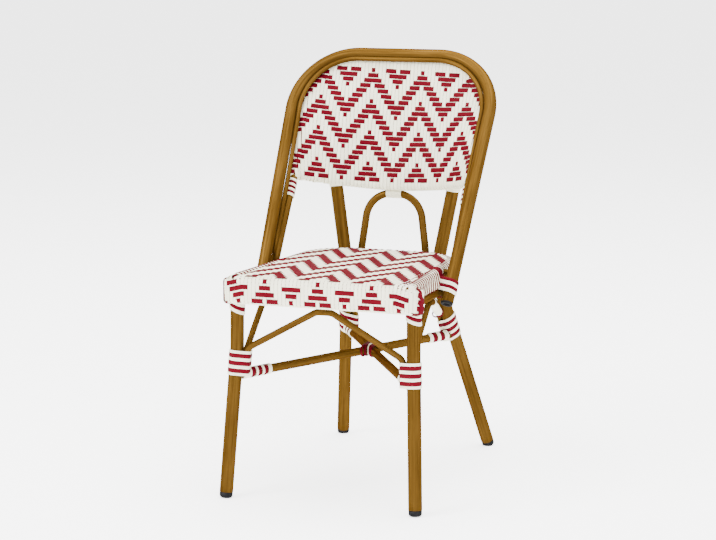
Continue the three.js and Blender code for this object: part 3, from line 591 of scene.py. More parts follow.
def sweep_tube(
    name: str,
    route: Route,
    radius: float,
    wardrobe: Wardrobe,
    nodes: Iterable[str],
    sides: int = 28,
) -> bpy.types.Object:
    """Makes a closed round bar of painted tube along a route.

    Args:
        name: the piece's name.
        route: its centre line.
        radius: its radius.
        wardrobe: the finishes.
        nodes: the nodes that it stands for.
        sides: how many sides it has.

    Returns:
        The piece.
    """
    spans = len(route.stations) - 1
    work = bmesh.new()
    bmesh.ops.create_cone(work, cap_ends=True, segments=sides, radius1=1, radius2=1, depth=spans)
    long_edges = [e for e in work.edges if abs(e.verts[0].co.z - e.verts[1].co.z) > 0.5]
    if spans > 1:
        bmesh.ops.subdivide_edges(work, edges=long_edges, cuts=spans - 1, use_grid_fill=True)
    mesh, co = mesh_of(work, name)
    index = np.clip(np.rint(co[:, 2] + spans / 2).astype(int), 0, spans)
    around = unit(co[:, :2]) * radius
    points = route.stations[index] + route.first[index] * around[:, :1] + route.second[index] * around[:, 1:]
    start = TUBE_GRAIN_STEP * (sum(ord(letter) for letter in name) % TUBE_GRAIN_STEPS)
    grain = np.column_stack([around + start, route.lengths[index]])
    return finish_piece(name, mesh, points, grain, wardrobe.paint, nodes)


def lathe(
    name: str,
    profile: Sequence[tuple[float, float]],
    base: Point,
    axis: Point,
    side: int,
    wardrobe: Wardrobe,
    nodes: Iterable[str],
    steps: int = 36,
) -> bpy.types.Object:
    """Spins a profile round an axis into a piece of black plastic.

    Args:
        name: the piece's name.
        profile: radius and distance along the axis for each point.
        base: where the axis starts, on the left side of the chair.
        axis: its direction there.
        side: 1 to stay on the left, -1 to mirror.
        wardrobe: the finishes.
        nodes: the nodes that it stands for.
        steps: how many sides it has.

    Returns:
        The piece.
    """
    work = bmesh.new()
    points = [work.verts.new((r, 0, h)) for r, h in profile]
    edges = [work.edges.new(pair) for pair in zip(points[:-1], points[1:])]
    bmesh.ops.spin(
        work,
        geom=points + edges,
        cent=(0, 0, 0),
        axis=(0, 0, 1),
        angle=2 * math.pi,
        steps=steps,
        use_merge=True,
    )
    bmesh.ops.remove_doubles(work, verts=work.verts, dist=SAME_PLACE)
    mesh, co = mesh_of(work, name)
    askew = vec(0, 1, 0.3)
    first = unit(np.cross(axis, askew))
    second = np.cross(axis, first)
    placed = base + co[:, :1] * first + co[:, 1:2] * second + co[:, 2:] * axis
    return finish_piece(name, mesh, on_side(placed, side), co, wardrobe.plastic, nodes)


def ribbon_template(across: int, along: int) -> tuple[bpy.types.Mesh, Points]:
    """Makes a closed flat ribbon to copy: a grid whose long borders are bridged at the back.

    Args:
        across: points across the ribbon.
        along: points along it.

    Returns:
        The mesh and its vertices' places as whole numbers, across and along.
    """
    work = bmesh.new()
    bmesh.ops.create_grid(work, x_segments=across - 1, y_segments=along - 1, size=1.0)
    border = [e for e in work.edges if e.is_boundary]
    sides = [e for e in border if abs(e.verts[0].co.x - e.verts[1].co.x) < SAME_PLACE]
    bmesh.ops.bridge_loops(work, edges=sides)
    bmesh.ops.holes_fill(work, edges=[e for e in work.edges if e.is_boundary], sides=0)
    mesh, co = mesh_of(work, "ribbon")
    columns = np.unique(np.round(co[:, 0], 5))
    rows = np.unique(np.round(co[:, 1], 5))
    place_across = np.rint((co[:, 0] + 1) / 2 * (len(columns) - 1)).astype(int)
    place_along = np.rint((co[:, 1] + 1) / 2 * (len(rows) - 1)).astype(int)
    return mesh, np.column_stack([place_across, place_along])


def copies(template: bpy.types.Mesh, count: int, name: str) -> bpy.types.Mesh:
    """Joins a number of copies of a mesh into one mesh.

    Args:
        template: the mesh to copy.
        count: how many copies.
        name: the new mesh's name.

    Returns:
        The joined mesh, copy after copy.
    """
    work = bmesh.new()
    for _ in range(count):
        work.from_mesh(template)
    mesh = bpy.data.meshes.new(name)
    work.to_mesh(mesh)
    work.free()
    return mesh


def ring_template(profile: int, around: int) -> tuple[bpy.types.Mesh, Points]:
    """Makes one turn of strip to copy: a small circle spun round the axis.

    Args:
        profile: points round the strip's section.
        around: points round the turn.

    Returns:
        The mesh and, for each vertex, its angle, and its outward and axial place from -1 to 1.
    """
    work = bmesh.new()
    turned = Matrix.Rotation(math.pi / 2, 4, "X")
    reach = 8.0
    bmesh.ops.create_circle(
        work, cap_ends=False, segments=profile, radius=1.0, matrix=Matrix.Translation((reach, 0, 0)) @ turned
    )
    bmesh.ops.spin(
        work,
        geom=list(work.verts) + list(work.edges),
        cent=(0, 0, 0),
        axis=(0, 0, 1),
        angle=2 * math.pi,
        steps=around,
        use_merge=True,
    )
    mesh, co = mesh_of(work, "turn")
    angle = np.arctan2(co[:, 1], co[:, 0])
    return mesh, np.column_stack([angle, np.hypot(co[:, 0], co[:, 1]) - reach, co[:, 2]])


def squared(values: Points, power: float) -> Points:
    """Pushes values from -1 to 1 outwards, which squares a round section."""
    return np.sign(values) * np.abs(values) ** power


# Sizes of the chair, shared by the sub-assemblies


@dataclass(frozen=True)
class ChairSizes:
    """Sizes that more than one sub-assembly needs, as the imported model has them."""

    rim_z: float = 446.2
    lower_rail_z: float = 411.2
    lower_side_x: float = 180.0
    rail_radius: float = 9.0
    weave_radius: float = 10.9
    front_y: float = -298.5
    rear_y: float = 120.0
    front_half_width: float = 186.0
    rear_half_width: float = 151.2
    rear_bend: float = 94.0
    apron_half_width: float = 197.5
    apron_bend: float = 18.0
    apron_return_y: float = -278.0
    corner_drop: float = 9.5
    front_leg: tuple[Place, ...] = ((201.9, -302.3, 0.0), (187.0, -273.5, 304.7), (186.0, -272.0, 446.2))
    rear_leg: tuple[Place, ...] = ((173.2, 306.4, 0.0), (100.5, 134.4, 407.7), (136.7, 153.6, 615.7))
    leg_bend: float = 160.0
    leg_radius: float = 13.8
    brace_radius: float = 6.5
    brace_gap: float = 0.6
    stretcher_radius: float = 9.0
    lower_side_radius: float = 8.0
    hoop_radius: float = 13.0
    inner_hoop_radius: float = 9.0
    trim_radius: float = 4.7

    @property
    def brace_inset(self) -> float:
        """How far a brace's centre lies inside a leg's."""
        return self.leg_radius + self.brace_radius + self.brace_gap

    def side_x(self, y: Points) -> Points:
        """X of the seat's side bar at a given Y."""
        share = (np.asarray(y) - self.front_y) / (self.rear_y - self.front_y)
        return self.front_half_width + (self.rear_half_width - self.front_half_width) * share

    def rim_corners(self, front_y: float) -> list[Point]:
        """Corners of the left half of the seat's rim.

        Args:
            front_y: where the half starts, on the side.

        Returns:
            The corners, from there to the middle of the rear.
        """
        return [
            vec(float(self.side_x(front_y)), front_y, self.rim_z),
            vec(self.rear_half_width, self.rear_y, self.rim_z),
            vec(0, self.rear_y, self.rim_z),
        ]


SIZES = ChairSizes()


def leg_route(corners: Sequence[Place]) -> Route:
    """Centre line of a left leg from the floor up, through its bend."""
    return Route(rounded([vec(*corner) for corner in corners], [SIZES.leg_bend]))


# Hoops of the back


@dataclass
class BackFrame:
    """Outer hoop, trim tube, inner hoop, arch and the plugs in the hoop's ends."""

    wardrobe: Wardrobe
    lean: float = 0.63
    plane_y: float = -67.6
    plane_z: float = 468.7
    leg_x: float = 207.7
    flare: float = 0.0475
    top_z: float = 871.6
    bend: float = 132.7
    end_z: float = 394.7
    hoop_sides: int = 40
    trim_sides: int = 20
    trim_gap: float = 0.3
    trim_end_z: float = 462.7
    trim_low_angle: float = -56.0
    trim_top_angle: float = 24.0
    inner_x: float = 195.5
    inner_end: tuple[float, float] = (-55.6, 436.7)
    inner_knee: tuple[float, float] = (51.0, 604.7)
    inner_top: tuple[float, float] = (188.0, 848.7)
    inner_bend: float = 105.0
    inner_knee_bend: float = 400.0
    arch_foot: Place = (75.2, 147.5, 437.2)
    arch_shoulder: Place = (56.5, 154.5, 575.7)
    arch_bend: float = 58.0
    arch_radius: float = 8.0
    cap_radius: float = 12.6
    cap_height: float = 4.3
    cap_edge: float = 1.2
    cap_edge_drop: float = 1.4
    dish_radius: float = 6.2
    dish_floor: float = 1.2
    dish_wall: float = 0.6
    dish_lip: float = 0.8
    dish_lip_drop: float = 1.3

    def on_plane(self, x: float, z: float) -> Point:
        """A point of the outer hoop's plane."""
        return vec(x, self.plane_y + self.lean * (z - self.plane_z), z)

    def leg_at(self, z: float) -> Point:
        """A point of the outer hoop's straight leg, at a height."""
        return self.on_plane(self.leg_x + self.flare * (z - self.plane_z), z)

    def outer_half(self) -> Points:
        """Lays out the outer hoop.

        Returns:
            Stations from its top centre down to its left end.
        """
        leg_top = self.leg_at(self.top_z)
        top = self.on_plane(0, self.top_z)
        return rounded([top, leg_top, self.leg_at(self.end_z)], [self.bend])

    def inner_half(self) -> Points:
        """The inner hoop from its top centre down to its left end."""
        side = [vec(self.inner_x, *end) for end in (self.inner_top, self.inner_knee, self.inner_end)]
        return rounded([vec(0, *self.inner_top), *side], [self.inner_bend, self.inner_knee_bend])

    def trim_half(self) -> Points:
        """Lays out the trim tube, which touches the outer hoop and turns round it with height.

        Returns:
            Stations from its top centre down to its left end.
        """
        route = Route(self.outer_half())
        keep = route.stations[:, 2] >= self.trim_end_z
        normal = unit(vec(0, -1, self.lean))
        inward = unit(np.cross(route.tangents, normal))
        share = (route.stations[:, 2] - self.trim_end_z) / (self.top_z - self.trim_end_z)
        angle = np.radians(self.trim_low_angle + (self.trim_top_angle - self.trim_low_angle) * share)
        reach = SIZES.hoop_radius + SIZES.trim_radius + self.trim_gap
        points = route.stations + reach * (inward * np.cos(angle)[:, None] + normal * np.sin(angle)[:, None])
        points[0, 0] = 0
        return points[keep]

    def arch(self) -> Points:
        """The arch between the seat and the back's lower rail."""
        half = [vec(*self.arch_foot), vec(*self.arch_shoulder)]
        return rounded(half + [mirrored(point) for point in half[::-1]], [self.arch_bend, self.arch_bend])

    def end_plug(self, side: int, word: str) -> None:
        """Makes the dished plug in one end of the outer hoop.

        Args:
            side: 1 for the sitter's left, -1 for the right.
            word: the side's name.
        """
        half = self.outer_half()
        axis = unit(half[-1] - half[-2])
        wall = self.dish_radius + self.dish_wall
        profile = [
            (0, self.dish_floor),
            (self.dish_radius, self.dish_floor),
            (wall, self.cap_height - self.dish_lip_drop),
            (wall + self.dish_lip, self.cap_height),
            (self.cap_radius - self.cap_edge, self.cap_height),
            (self.cap_radius, self.cap_height - self.cap_edge_drop),
            (self.cap_radius, 0.0),
            (0, 0.0),
        ]
        lathe(f"hoop_plug_{word}", profile, half[-1], axis, side, self.wardrobe, [f"hoop_end_cap_{word}"])

    def build(self) -> None:
        """Makes every tube of the back and both plugs."""
        w = self.wardrobe
        outer = Route(whole(self.outer_half()))
        sweep_tube("outer_hoop_tube", outer, SIZES.hoop_radius, w, ["outer_hoop"], self.hoop_sides)
        trim = Route(whole(self.trim_half()))
        sweep_tube("trim_tube", trim, SIZES.trim_radius, w, ["hoop_trim"], self.trim_sides)
        inner = Route(whole(self.inner_half()))
        sweep_tube("inner_hoop_tube", inner, SIZES.inner_hoop_radius, w, ["inner_hoop"])
        sweep_tube("arch_tube", Route(self.arch()), self.arch_radius, w, ["back_arch"])
        for side, word in SIDES:
            self.end_plug(side, word)


# Legs, rails, braces and stretchers


@dataclass
class Undercarriage:
    """Legs, feet, lower rails, braces and the crossed stretchers."""

    wardrobe: Wardrobe
    leg_sides: int = 40
    leg_end_gap: float = 6.0
    foot_height: float = 12.5
    foot_round: float = 6.0
    foot_inset: float = 0.4
    foot_step: int = 15
    front_brace_top: float = 388.7
    front_brace_rise: float = 0.56
    brace_end_z: float = 254.7
    brace_bends: tuple[float, ...] = (22.0, 25.0, 25.0, 22.0)
    side_x: float = 175.5
    side_foot_y: float = -252.6
    side_foot_shift: float = 4.0
    side_flat: tuple[float, float] = (-147.0, -112.0)
    side_top_z: float = 396.1
    side_rise: float = 0.93
    side_rear_z: tuple[float, float] = (313.7, 268.7)
    lower_side_y: tuple[float, float] = (-272.0, 26.0)
    lower_side_end: tuple[float, float] = (112.0, 138.5)
    lower_side_bend: float = 120.0
    stretcher_front_z: float = 249.7
    stretcher_rear_z: float = 270.7
    stretcher_spans: int = 16
    stretcher_joint: float = 7.0
    front_leg: Route = field(default_factory=lambda: leg_route(SIZES.front_leg))
    rear_leg: Route = field(default_factory=lambda: leg_route(SIZES.rear_leg))

    def foot_profile(self, drop: float) -> list[tuple[float, float]]:
        """Profile of a rounded foot.

        Args:
            drop: how far it reaches below the tube.

        Returns:
            Radius and distance along the leg for each point.
        """
        outer = SIZES.leg_radius - self.foot_inset
        profile = [(0, -drop), (outer - self.foot_round, -drop)]
        for degrees in range(self.foot_step, 91, self.foot_step):
            turn = math.radians(degrees)
            reach = outer - self.foot_round * (1 - math.sin(turn))
            profile.append((reach, -drop + self.foot_round * (1 - math.cos(turn))))
        return profile + [(outer, 0.0), (0, 0.0)]

    def legs(self) -> None:
        """Makes the four legs and their rounded feet."""
        for label, route in (("front", self.front_leg), ("rear", self.rear_leg)):
            start = route.at_height(self.foot_height)
            above = route.stations[route.stations[:, 2] > self.foot_height + 1]
            line = np.vstack([start, above])
            if label == "front":
                line = line[line[:, 2] < SIZES.rim_z - self.leg_end_gap]
            axis = unit(line[1] - line[0])
            profile = self.foot_profile(start[2] / axis[2])
            for side, word in SIDES:
                node = f"{label}_leg_{word}"
                leg = Route(on_side(line, side))
                sweep_tube(f"{node}_tube", leg, SIZES.leg_radius, self.wardrobe, [node], self.leg_sides)
                cap = f"{label}_foot_cap_{word}"
                lathe(f"{label}_foot_{word}", profile, start, axis, side, self.wardrobe, [cap])

    def front_brace(self) -> Points:
        """Lays out the arched brace between the front legs.

        Returns:
            Stations from right to left.
        """
        leg_x, knee_y, knee_z = SIZES.front_leg[1]
        knee_x = leg_x - SIZES.brace_inset
        end = self.front_leg.at_height(self.brace_end_z)
        apex = knee_z + self.front_brace_rise * knee_x
        flat = (apex - self.front_brace_top) / self.front_brace_rise
        half = [
            vec(flat, knee_y, self.front_brace_top),
            vec(knee_x, knee_y, knee_z),
            vec(end[0] - SIZES.brace_inset, end[1], self.brace_end_z),
        ]
        return rounded([mirrored(point) for point in half[::-1]] + half, self.brace_bends)

    def side_brace(self) -> Points:
        """Lays out the left side brace.

        Returns:
            Stations from the front leg over to the rear leg.
        """
        start, end = self.side_flat
        knee = self.side_top_z - self.side_rise * (start - self.side_foot_y)
        shift = self.side_foot_shift
        corners = [
            vec(self.side_x, self.side_foot_y - shift, self.brace_end_z + shift),
            vec(self.side_x, self.side_foot_y, knee),
            vec(self.side_x, start, self.side_top_z),
            vec(self.side_x, end, self.side_top_z),
        ]
        inset = vec(SIZES.brace_inset, 0, 0)
        corners += [self.rear_leg.at_height(z) - inset for z in self.side_rear_z]
        return rounded(corners, self.brace_bends)

    def stretcher(self) -> Points:
        """Lays out the long stretcher.

        Returns:
            Stations from the left front leg to the right rear leg.
        """
        start = self.front_leg.at_height(self.stretcher_front_z)
        end = mirrored(self.rear_leg.at_height(self.stretcher_rear_z))
        return straight(start, end, self.stretcher_spans)

    def lower_side_rail(self) -> Points:
        """Lays out the left lower side rail.

        Returns:
            Stations from front to rear.
        """
        z = SIZES.lower_rail_z
        corners = [vec(SIZES.lower_side_x, y, z) for y in self.lower_side_y]
        return rounded([*corners, vec(*self.lower_side_end, z)], [self.lower_side_bend])

    def crossed(self) -> None:
        """Makes the long stretcher and the two halves that end on it."""
        long = self.stretcher()
        radius = SIZES.stretcher_radius
        sweep_tube("stretcher_long_tube", Route(long), radius, self.wardrobe, ["stretcher_long"])
        other = mirrored(long)
        middle = long[np.argmin(np.abs(long[:, 0]))]
        direction = unit(other[-1] - other[0])
        cross = other[0] + direction * ((middle - other[0]) @ direction)
        joint = direction * self.stretcher_joint
        for word, start, end in (("front", other[0], cross - joint), ("rear", cross + joint, other[-1])):
            half = Route(straight(start, end, self.stretcher_spans // 2))
            sweep_tube(f"stretcher_{word}_tube", half, radius, self.wardrobe, [f"stretcher_short_{word}"])

    def build(self) -> None:
        """Makes every tube under the seat."""
        self.legs()
        w = self.wardrobe
        sweep_tube("front_brace_tube", Route(self.front_brace()), SIZES.brace_radius, w, ["front_brace"])
        for side, word in SIDES:
            brace = Route(on_side(self.side_brace(), side))
            sweep_tube(f"side_brace_{word}_tube", brace, SIZES.brace_radius, w, [f"side_brace_{word}"])
            rail = Route(on_side(self.lower_side_rail(), side))
            radius = SIZES.lower_side_radius
            sweep_tube(f"lower_side_{word}_tube", rail, radius, w, [f"lower_side_rail_{word}"])
        self.crossed()


# Weave


def smooth(share: Points) -> Points:
    """Eases a share, held between 0 and 1."""
    held = np.clip(share, 0, 1)
    return held * held * (3 - 2 * held)


def nearest(places: tuple[Points, Points], line: Points, out: Points) -> tuple[Points, Points]:
    """Nearest place of a line in a plane, and how far outside it points of that plane are.

    Args:
        places: both coordinates of the points.
        line: the line's points, one row each.
        out: the outward direction at each of them.

    Returns:
        Indices into the line and signed distances, positive outside.
    """
    gaps = [values[..., None] - line[:, axis] for axis, values in enumerate(places)]
    index = np.argmin(gaps[0] ** 2 + gaps[1] ** 2, axis=-1)
    near = [np.take_along_axis(gap, index[..., None], -1)[..., 0] for gap in gaps]
    outward = out[index]
    return index, near[0] * outward[..., 0] + near[1] * outward[..., 1]


@dataclass(frozen=True)
class ZigzagPattern:
    """Which crossings show the red strip: bands of rows that rise and fall by columns.

    Attributes:
        peak: a column where the zigzag peaks.
        plain_row: a row whose red shows only at the peaks, if there is one.
        plain_from: the column from which that row is plain.
        columns: columns from peak to peak.
        rows: rows from band to band.
        red_rows: rows of red in a band.
        hold: the share of the way to the next crossing over which a strip keeps its level.
    """

    peak: int
    plain_row: int | None = None
    plain_from: int = 0
    columns: int = 14
    rows: int = 6
    red_rows: int = 3
    hold: float = 0.27

    def red(self, row: Points, column: Points) -> Points:
        """Tells whether the red strip lies on top.

        Args:
            row: row numbers.
            column: column numbers, 0 in the middle.

        Returns:
            True where red shows.
        """
        away = np.mod(np.asarray(column) - self.peak, self.columns)
        away = np.minimum(away, self.columns - away)
        red = np.mod(np.asarray(row) - away, self.rows) < self.red_rows
        if self.plain_row is None:
            return red
        plain = (np.asarray(row) == self.plain_row) & (np.asarray(column) >= self.plain_from) & (away > 0)
        return red & ~plain

    def lift(self, row: Points, column: Points, kind: Ribbon) -> Points:
        """How far the red strip lies above the strands, from -1 to 1, eased between crossings.

        Args:
            row: row places, whole numbers at the strips.
            column: column places, whole numbers at the strands.
            kind: the ribbon that is followed: a strand from row to row, a strip from column to column.

        Returns:
            The lift at each place.
        """
        running = np.asarray(row if kind is Ribbon.STRAND else column, float)
        low = np.floor(running)
        ease = smooth((running - low - self.hold) / (1 - 2 * self.hold))
        if kind is Ribbon.STRAND:
            before, after = self.red(low, column), self.red(low + 1, column)
        else:
            before, after = self.red(row, low), self.red(row, low + 1)
        return np.where(before, 1.0, -1.0) * (1 - ease) + np.where(after, 1.0, -1.0) * ease


@dataclass(frozen=True)
class StrandSizes:
    """Sizes of the strands and strips of one woven sheet."""

    column_pitch: float = 7.95
    strand_width: float = 7.8
    strand_rise: float = 0.7
    strip_width: float = 5.2
    strip_rise: float = 0.45
    lift: float = 0.7
    strand_across_shares: Shares = (-0.5, -0.45, -0.36, -0.167, 0.0, 0.167, 0.36, 0.45, 0.5)
    strand_height_shares: Shares = (-0.9, 0.25, 0.8, 0.4, 0.95, 0.4, 0.8, 0.25, -0.9)
    strip_across_shares: Shares = (-0.5, -0.43, 0.0, 0.43, 0.5)
    strip_height_shares: Shares = (-0.9, 0.6, 1.0, 0.6, -0.9)


Surface = Callable[[Points, Points], tuple[Points, Points]]


class WovenSheet:
    """Ribbons laid on a surface, over and under each other."""

    def __init__(self, sizes: StrandSizes, surface: Surface, wardrobe: Wardrobe) -> None:
        """Takes the surface that the ribbons lie on.

        Args:
            sizes: the strands' and strips' sizes.
            surface: gives points and unit normals for places across and along.
            wardrobe: the finishes.
        """
        self.sizes = sizes
        self.surface = surface
        self.wardrobe = wardrobe

    def ribbons(
        self,
        name: str,
        lines: Sequence[tuple[Points, Points, Points]],
        kind: Ribbon,
        colour: Colour,
        nodes: Iterable[str],
    ) -> bpy.types.Object:
        """Makes a set of ribbons as one piece.

        Args:
            name: the piece's name.
            lines: for each ribbon, its places across and along the sheet and its lifts.
            kind: whether they are strands or strips.
            colour: the ribbons' colour.
            nodes: the nodes that the piece stands for.

        Returns:
            The piece.
        """
        s = self.sizes
        if kind is Ribbon.STRAND:
            width, rise = s.strand_width, s.strand_rise
            offsets, heights = np.array(s.strand_across_shares), np.array(s.strand_height_shares)
        else:
            width, rise = s.strip_width, s.strip_rise
            offsets, heights = np.array(s.strip_across_shares), np.array(s.strip_height_shares)
        count = len(lines[0][0])
        template, where = ribbon_template(len(offsets), count)
        mesh = copies(template, len(lines), name)
        bpy.data.meshes.remove(template)
        points, grain = [], []
        for number, (u, v, lift) in enumerate(lines):
            centre, normal = self.surface(u, v)
            tangent = unit(np.gradient(centre, axis=0))
            side = unit(np.cross(tangent, normal))
            along = np.concatenate([[0], np.cumsum(np.linalg.norm(np.diff(centre, axis=0), axis=1))])
            i, k = where[:, 1], where[:, 0]
            spread = offsets[k][:, None] * width * side[i]
            raised = (heights[k] * rise + lift[i] * s.lift)[:, None] * normal[i]
            points.append(centre[i] + spread + raised)
            sideways = offsets[k] * width + RIBBON_GRAIN_STEP * number
            grain.append(np.column_stack([sideways, along[i], heights[k]]))
        finish = self.wardrobe.strands[colour]
        return finish_piece(name, mesh, np.vstack(points), np.vstack(grain), finish, nodes)


BACK_WEAVE = StrandSizes(strip_width=9.7, strip_rise=0.6)
APRON_WEAVE = StrandSizes(8.0, 7.85, 0.45, strip_width=9.8, strip_rise=0.45, lift=0.45)
SEAT_WEAVE = replace(APRON_WEAVE, strip_width=10.6, strip_rise=0.55, lift=0.6)
STRIP_POINTS = 210


@dataclass
class BackPanel:
    """The woven back: a bowl between the inner hoop and the lower rail."""

    wardrobe: Wardrobe
    back: BackFrame
    sizes: StrandSizes = BACK_WEAVE
    pattern: ZigzagPattern = ZigzagPattern(7)
    centre_z: float = 603.7
    centre_y: float = 137.0
    centre_lean: float = 0.164
    half_width: float = 195.5
    bowl_power: float = 2.55
    bowl_power_fall: float = 0.0062
    bowl_least_power: float = 1.5
    arc_steps: int = 25
    arc_guess_share: float = 0.95
    edge_radius: float = 10.3
    edge_gap: float = 1.25
    edge_middle_z: float = 663.7
    wrap_reach: float = 16.0
    most_turn: float = 2.4
    rows: int = 22
    row_zero: float = 835.7
    row_pitch: float = 10.95
    row_half_width: float = 165.0
    row_sag: float = 12.5
    row_tilt: float = -6.0
    level_row: int = 16
    row_reach: float = 245.0
    rail_z: float = 594.7
    rail_rise: float = 27.0
    rail_most_share: float = 1.05
    rail_reach: float = 240.0
    rail_end_gap: float = 4.0
    rail_points: int = 97
    above_rail_z: float = 612.0
    columns: int = 29
    column_z: tuple[float, float] = (880.0, 600.0)
    column_least: int = 12
    column_points: int = 118
    tuck: float = 30.0
    plain_lift: float = 0.6

    def __post_init__(self) -> None:
        """Works out the line where the weave turns round the inner hoop, and starts the sheet."""
        hoop = Route(whole(self.back.inner_half()))
        centre, along, _, _ = hoop.at(np.arange(0, hoop.length, 1.0))
        front = vec(0, -1, 0)
        self.edge_front = unit(front - along * (along @ front)[:, None])
        outward = np.cross(along, self.edge_front)
        facing = np.sign(np.sum(outward * (centre - UP * self.edge_middle_z), axis=1))
        self.edge_out = outward * facing[:, None]
        self.edge_centre = centre
        self.edge_along = along
        self.edge_line = centre + self.edge_front * self.edge_radius
        self.sheet = WovenSheet(self.sizes, self.surface, self.wardrobe)

    def hoop_y(self, z: Points) -> Points:
        """Finds the inner hoop's centre in side view.

        Args:
            z: heights.

        Returns:
            Its Y there.
        """
        knee_y, knee_z = self.back.inner_knee
        end_y, end_z = self.back.inner_end
        top_y, top_z = self.back.inner_top
        low = knee_y + (end_y - knee_y) * (z - knee_z) / (end_z - knee_z)
        high = knee_y + (top_y - knee_y) * (z - knee_z) / (top_z - knee_z)
        return np.where(z < knee_z, low, high)

    def bowl(self, z: Points) -> tuple[Points, Points, Points]:
        """Measures the bowl's section.

        Args:
            z: heights.

        Returns:
            Y of its middle, its depth and the power of its curve there.
        """
        centre = self.centre_y + self.centre_lean * (z - self.centre_z)
        edge = self.hoop_y(z) - SIZES.inner_hoop_radius - self.edge_gap
        power = self.bowl_power - self.bowl_power_fall * (z - self.centre_z)
        return centre, centre - edge, np.maximum(power, self.bowl_least_power)

    def front_y(self, x: Points, z: Points) -> Points:
        """Y of the panel's front face."""
        centre, depth, power = self.bowl(z)
        return centre - depth * (np.abs(x) / self.half_width) ** power

    def slope(self, x: Points, z: Points) -> Points:
        """Finds the front face's slope from side to side.

        Args:
            x: the places' X.
            z: their heights.

        Returns:
            How fast its Y changes with X.
        """
        _, depth, power = self.bowl(z)
        share = np.abs(x) / self.half_width
        return -depth * power / self.half_width * share ** (power - 1) * np.sign(x)

    def arc_to(self, x: Points, z: Points) -> Points:
        """Measures along the bowl.

        Args:
            x: the places' X.
            z: their heights.

        Returns:
            Length along the bowl from the middle.
        """
        shares = (np.arange(self.arc_steps) + 0.5) / self.arc_steps
        slopes = self.slope(x[..., None] * shares, z[..., None])
        return x * np.mean(np.sqrt(1 + slopes**2), axis=-1)

    def x_at(self, arc: Points, z: Points) -> Points:
        """Finds X from a length along the bowl.

        Args:
            arc: lengths along the bowl from the middle.
            z: heights.

        Returns:
            X there.
        """
        arc, z = np.broadcast_arrays(np.asarray(arc, float), np.asarray(z, float))
        x = arc * self.arc_guess_share
        for _ in range(SOLVER_ROUNDS):
            x = x - (self.arc_to(x, z) - arc) / np.sqrt(1 + self.slope(x, z) ** 2)
        return x

    def row_height(self, row: Points, arc: Points) -> Points:
        """Finds a row's height: rows sag in the middle lower down and tilt a little near the top.

        Args:
            row: row places.
            arc: lengths along the bowl from the middle.

        Returns:
            Heights.
        """
        share = np.asarray(arc) / self.row_half_width
        last = self.rows - 1
        sag = self.row_sag * (1 - ((last - row) / last) ** 2)
        tilt = self.row_tilt * (1 - row / self.level_row)
        return self.row_zero - self.row_pitch * row + sag * share**2 + tilt * share

    def row_at(self, z: Points, arc: Points) -> Points:
        """Finds the row at a height, the inverse of row_height.

        Args:
            z: heights.
            arc: lengths along the bowl from the middle.

        Returns:
            Row places.
        """
        row = (self.row_zero - z) / self.row_pitch
        for _ in range(SOLVER_ROUNDS):
            row = row + (self.row_height(row, arc) - z) / self.row_pitch
        return row

    def rail_height(self, x: Points) -> Points:
        """Height of the lower rail's centre."""
        share = np.minimum(np.abs(x) / self.half_width, self.rail_most_share)
        return self.rail_z + self.rail_rise * share**2

    def turn_height(self, arc: Points) -> Points:
        """Height of the lower rail's centre at a distance along the bowl."""
        return self.rail_height(self.x_at(arc, np.full_like(arc, self.above_rail_z)))

    def nearest_edge(self, x: Points, z: Points) -> tuple[Points, Points]:
        """The nearest place of the edge line, and how far outside it points of the front view are."""
        plane = [0, 2]
        return nearest((x, z), self.edge_line[:, plane], unit(self.edge_out[:, plane]))

    def surface(self, arc: Points, down: Points) -> tuple[Points, Points]:
        """Points and normals of the panel, which rolls round the inner hoop and under the lower rail.

        Args:
            arc: distances along the bowl from the middle.
            down: heights; below the rail's centre they are lengths round the rail.

        Returns:
            Points and unit normals that face the front.
        """
        arc = np.asarray(arc, float)
        down = np.asarray(down, float)
        turn_z = self.rail_height(self.x_at(arc, np.maximum(down, self.rail_z)))
        z = np.maximum(down, turn_z)
        x = self.x_at(arc, z)
        probe = 2.0
        slope_z = (self.front_y(x, z + probe) - self.front_y(x, z - probe)) / (2 * probe)
        normal = unit(np.stack([self.slope(x, z), -np.ones_like(x), slope_z], axis=-1))
        index, beyond = self.nearest_edge(x, z)
        line, centre = self.edge_line[index], self.edge_centre[index]
        front, out, along = self.edge_front[index], self.edge_out[index], self.edge_along[index]
        points = np.stack([x, self.front_y(x, z), z], axis=-1)
        radial = points - centre
        radial = radial - along * np.sum(radial * along, axis=-1, keepdims=True)
        distance = np.linalg.norm(radial, axis=-1, keepdims=True)
        pushed = points + unit(radial) * (self.edge_radius - distance)
        shift = np.sum((points - line) * along, axis=-1, keepdims=True)
        turn = (np.clip(beyond, 0, self.most_turn * self.edge_radius) / self.edge_radius)[..., None]
        wrapped_normal = front * np.cos(turn) + out * np.sin(turn)
        wrapped = centre + self.edge_radius * wrapped_normal + along * shift
        outside = beyond[..., None] > 0
        touching = (distance < self.edge_radius) & ~outside
        points = np.where(outside, wrapped, np.where(touching, pushed, points))
        normal = np.where(outside, wrapped_normal, np.where(touching, unit(normal + unit(radial)), normal))
        radius = SIZES.weave_radius
        under = np.clip((turn_z - down) / radius, 0, None)[..., None]
        level = unit(normal * [1, 1, 0])
        rolled_normal = level * np.cos(under) - UP * np.sin(under)
        rolled = points + radius * (rolled_normal - level)
        return np.where(under > 0, rolled, points), np.where(under > 0, rolled_normal, normal)

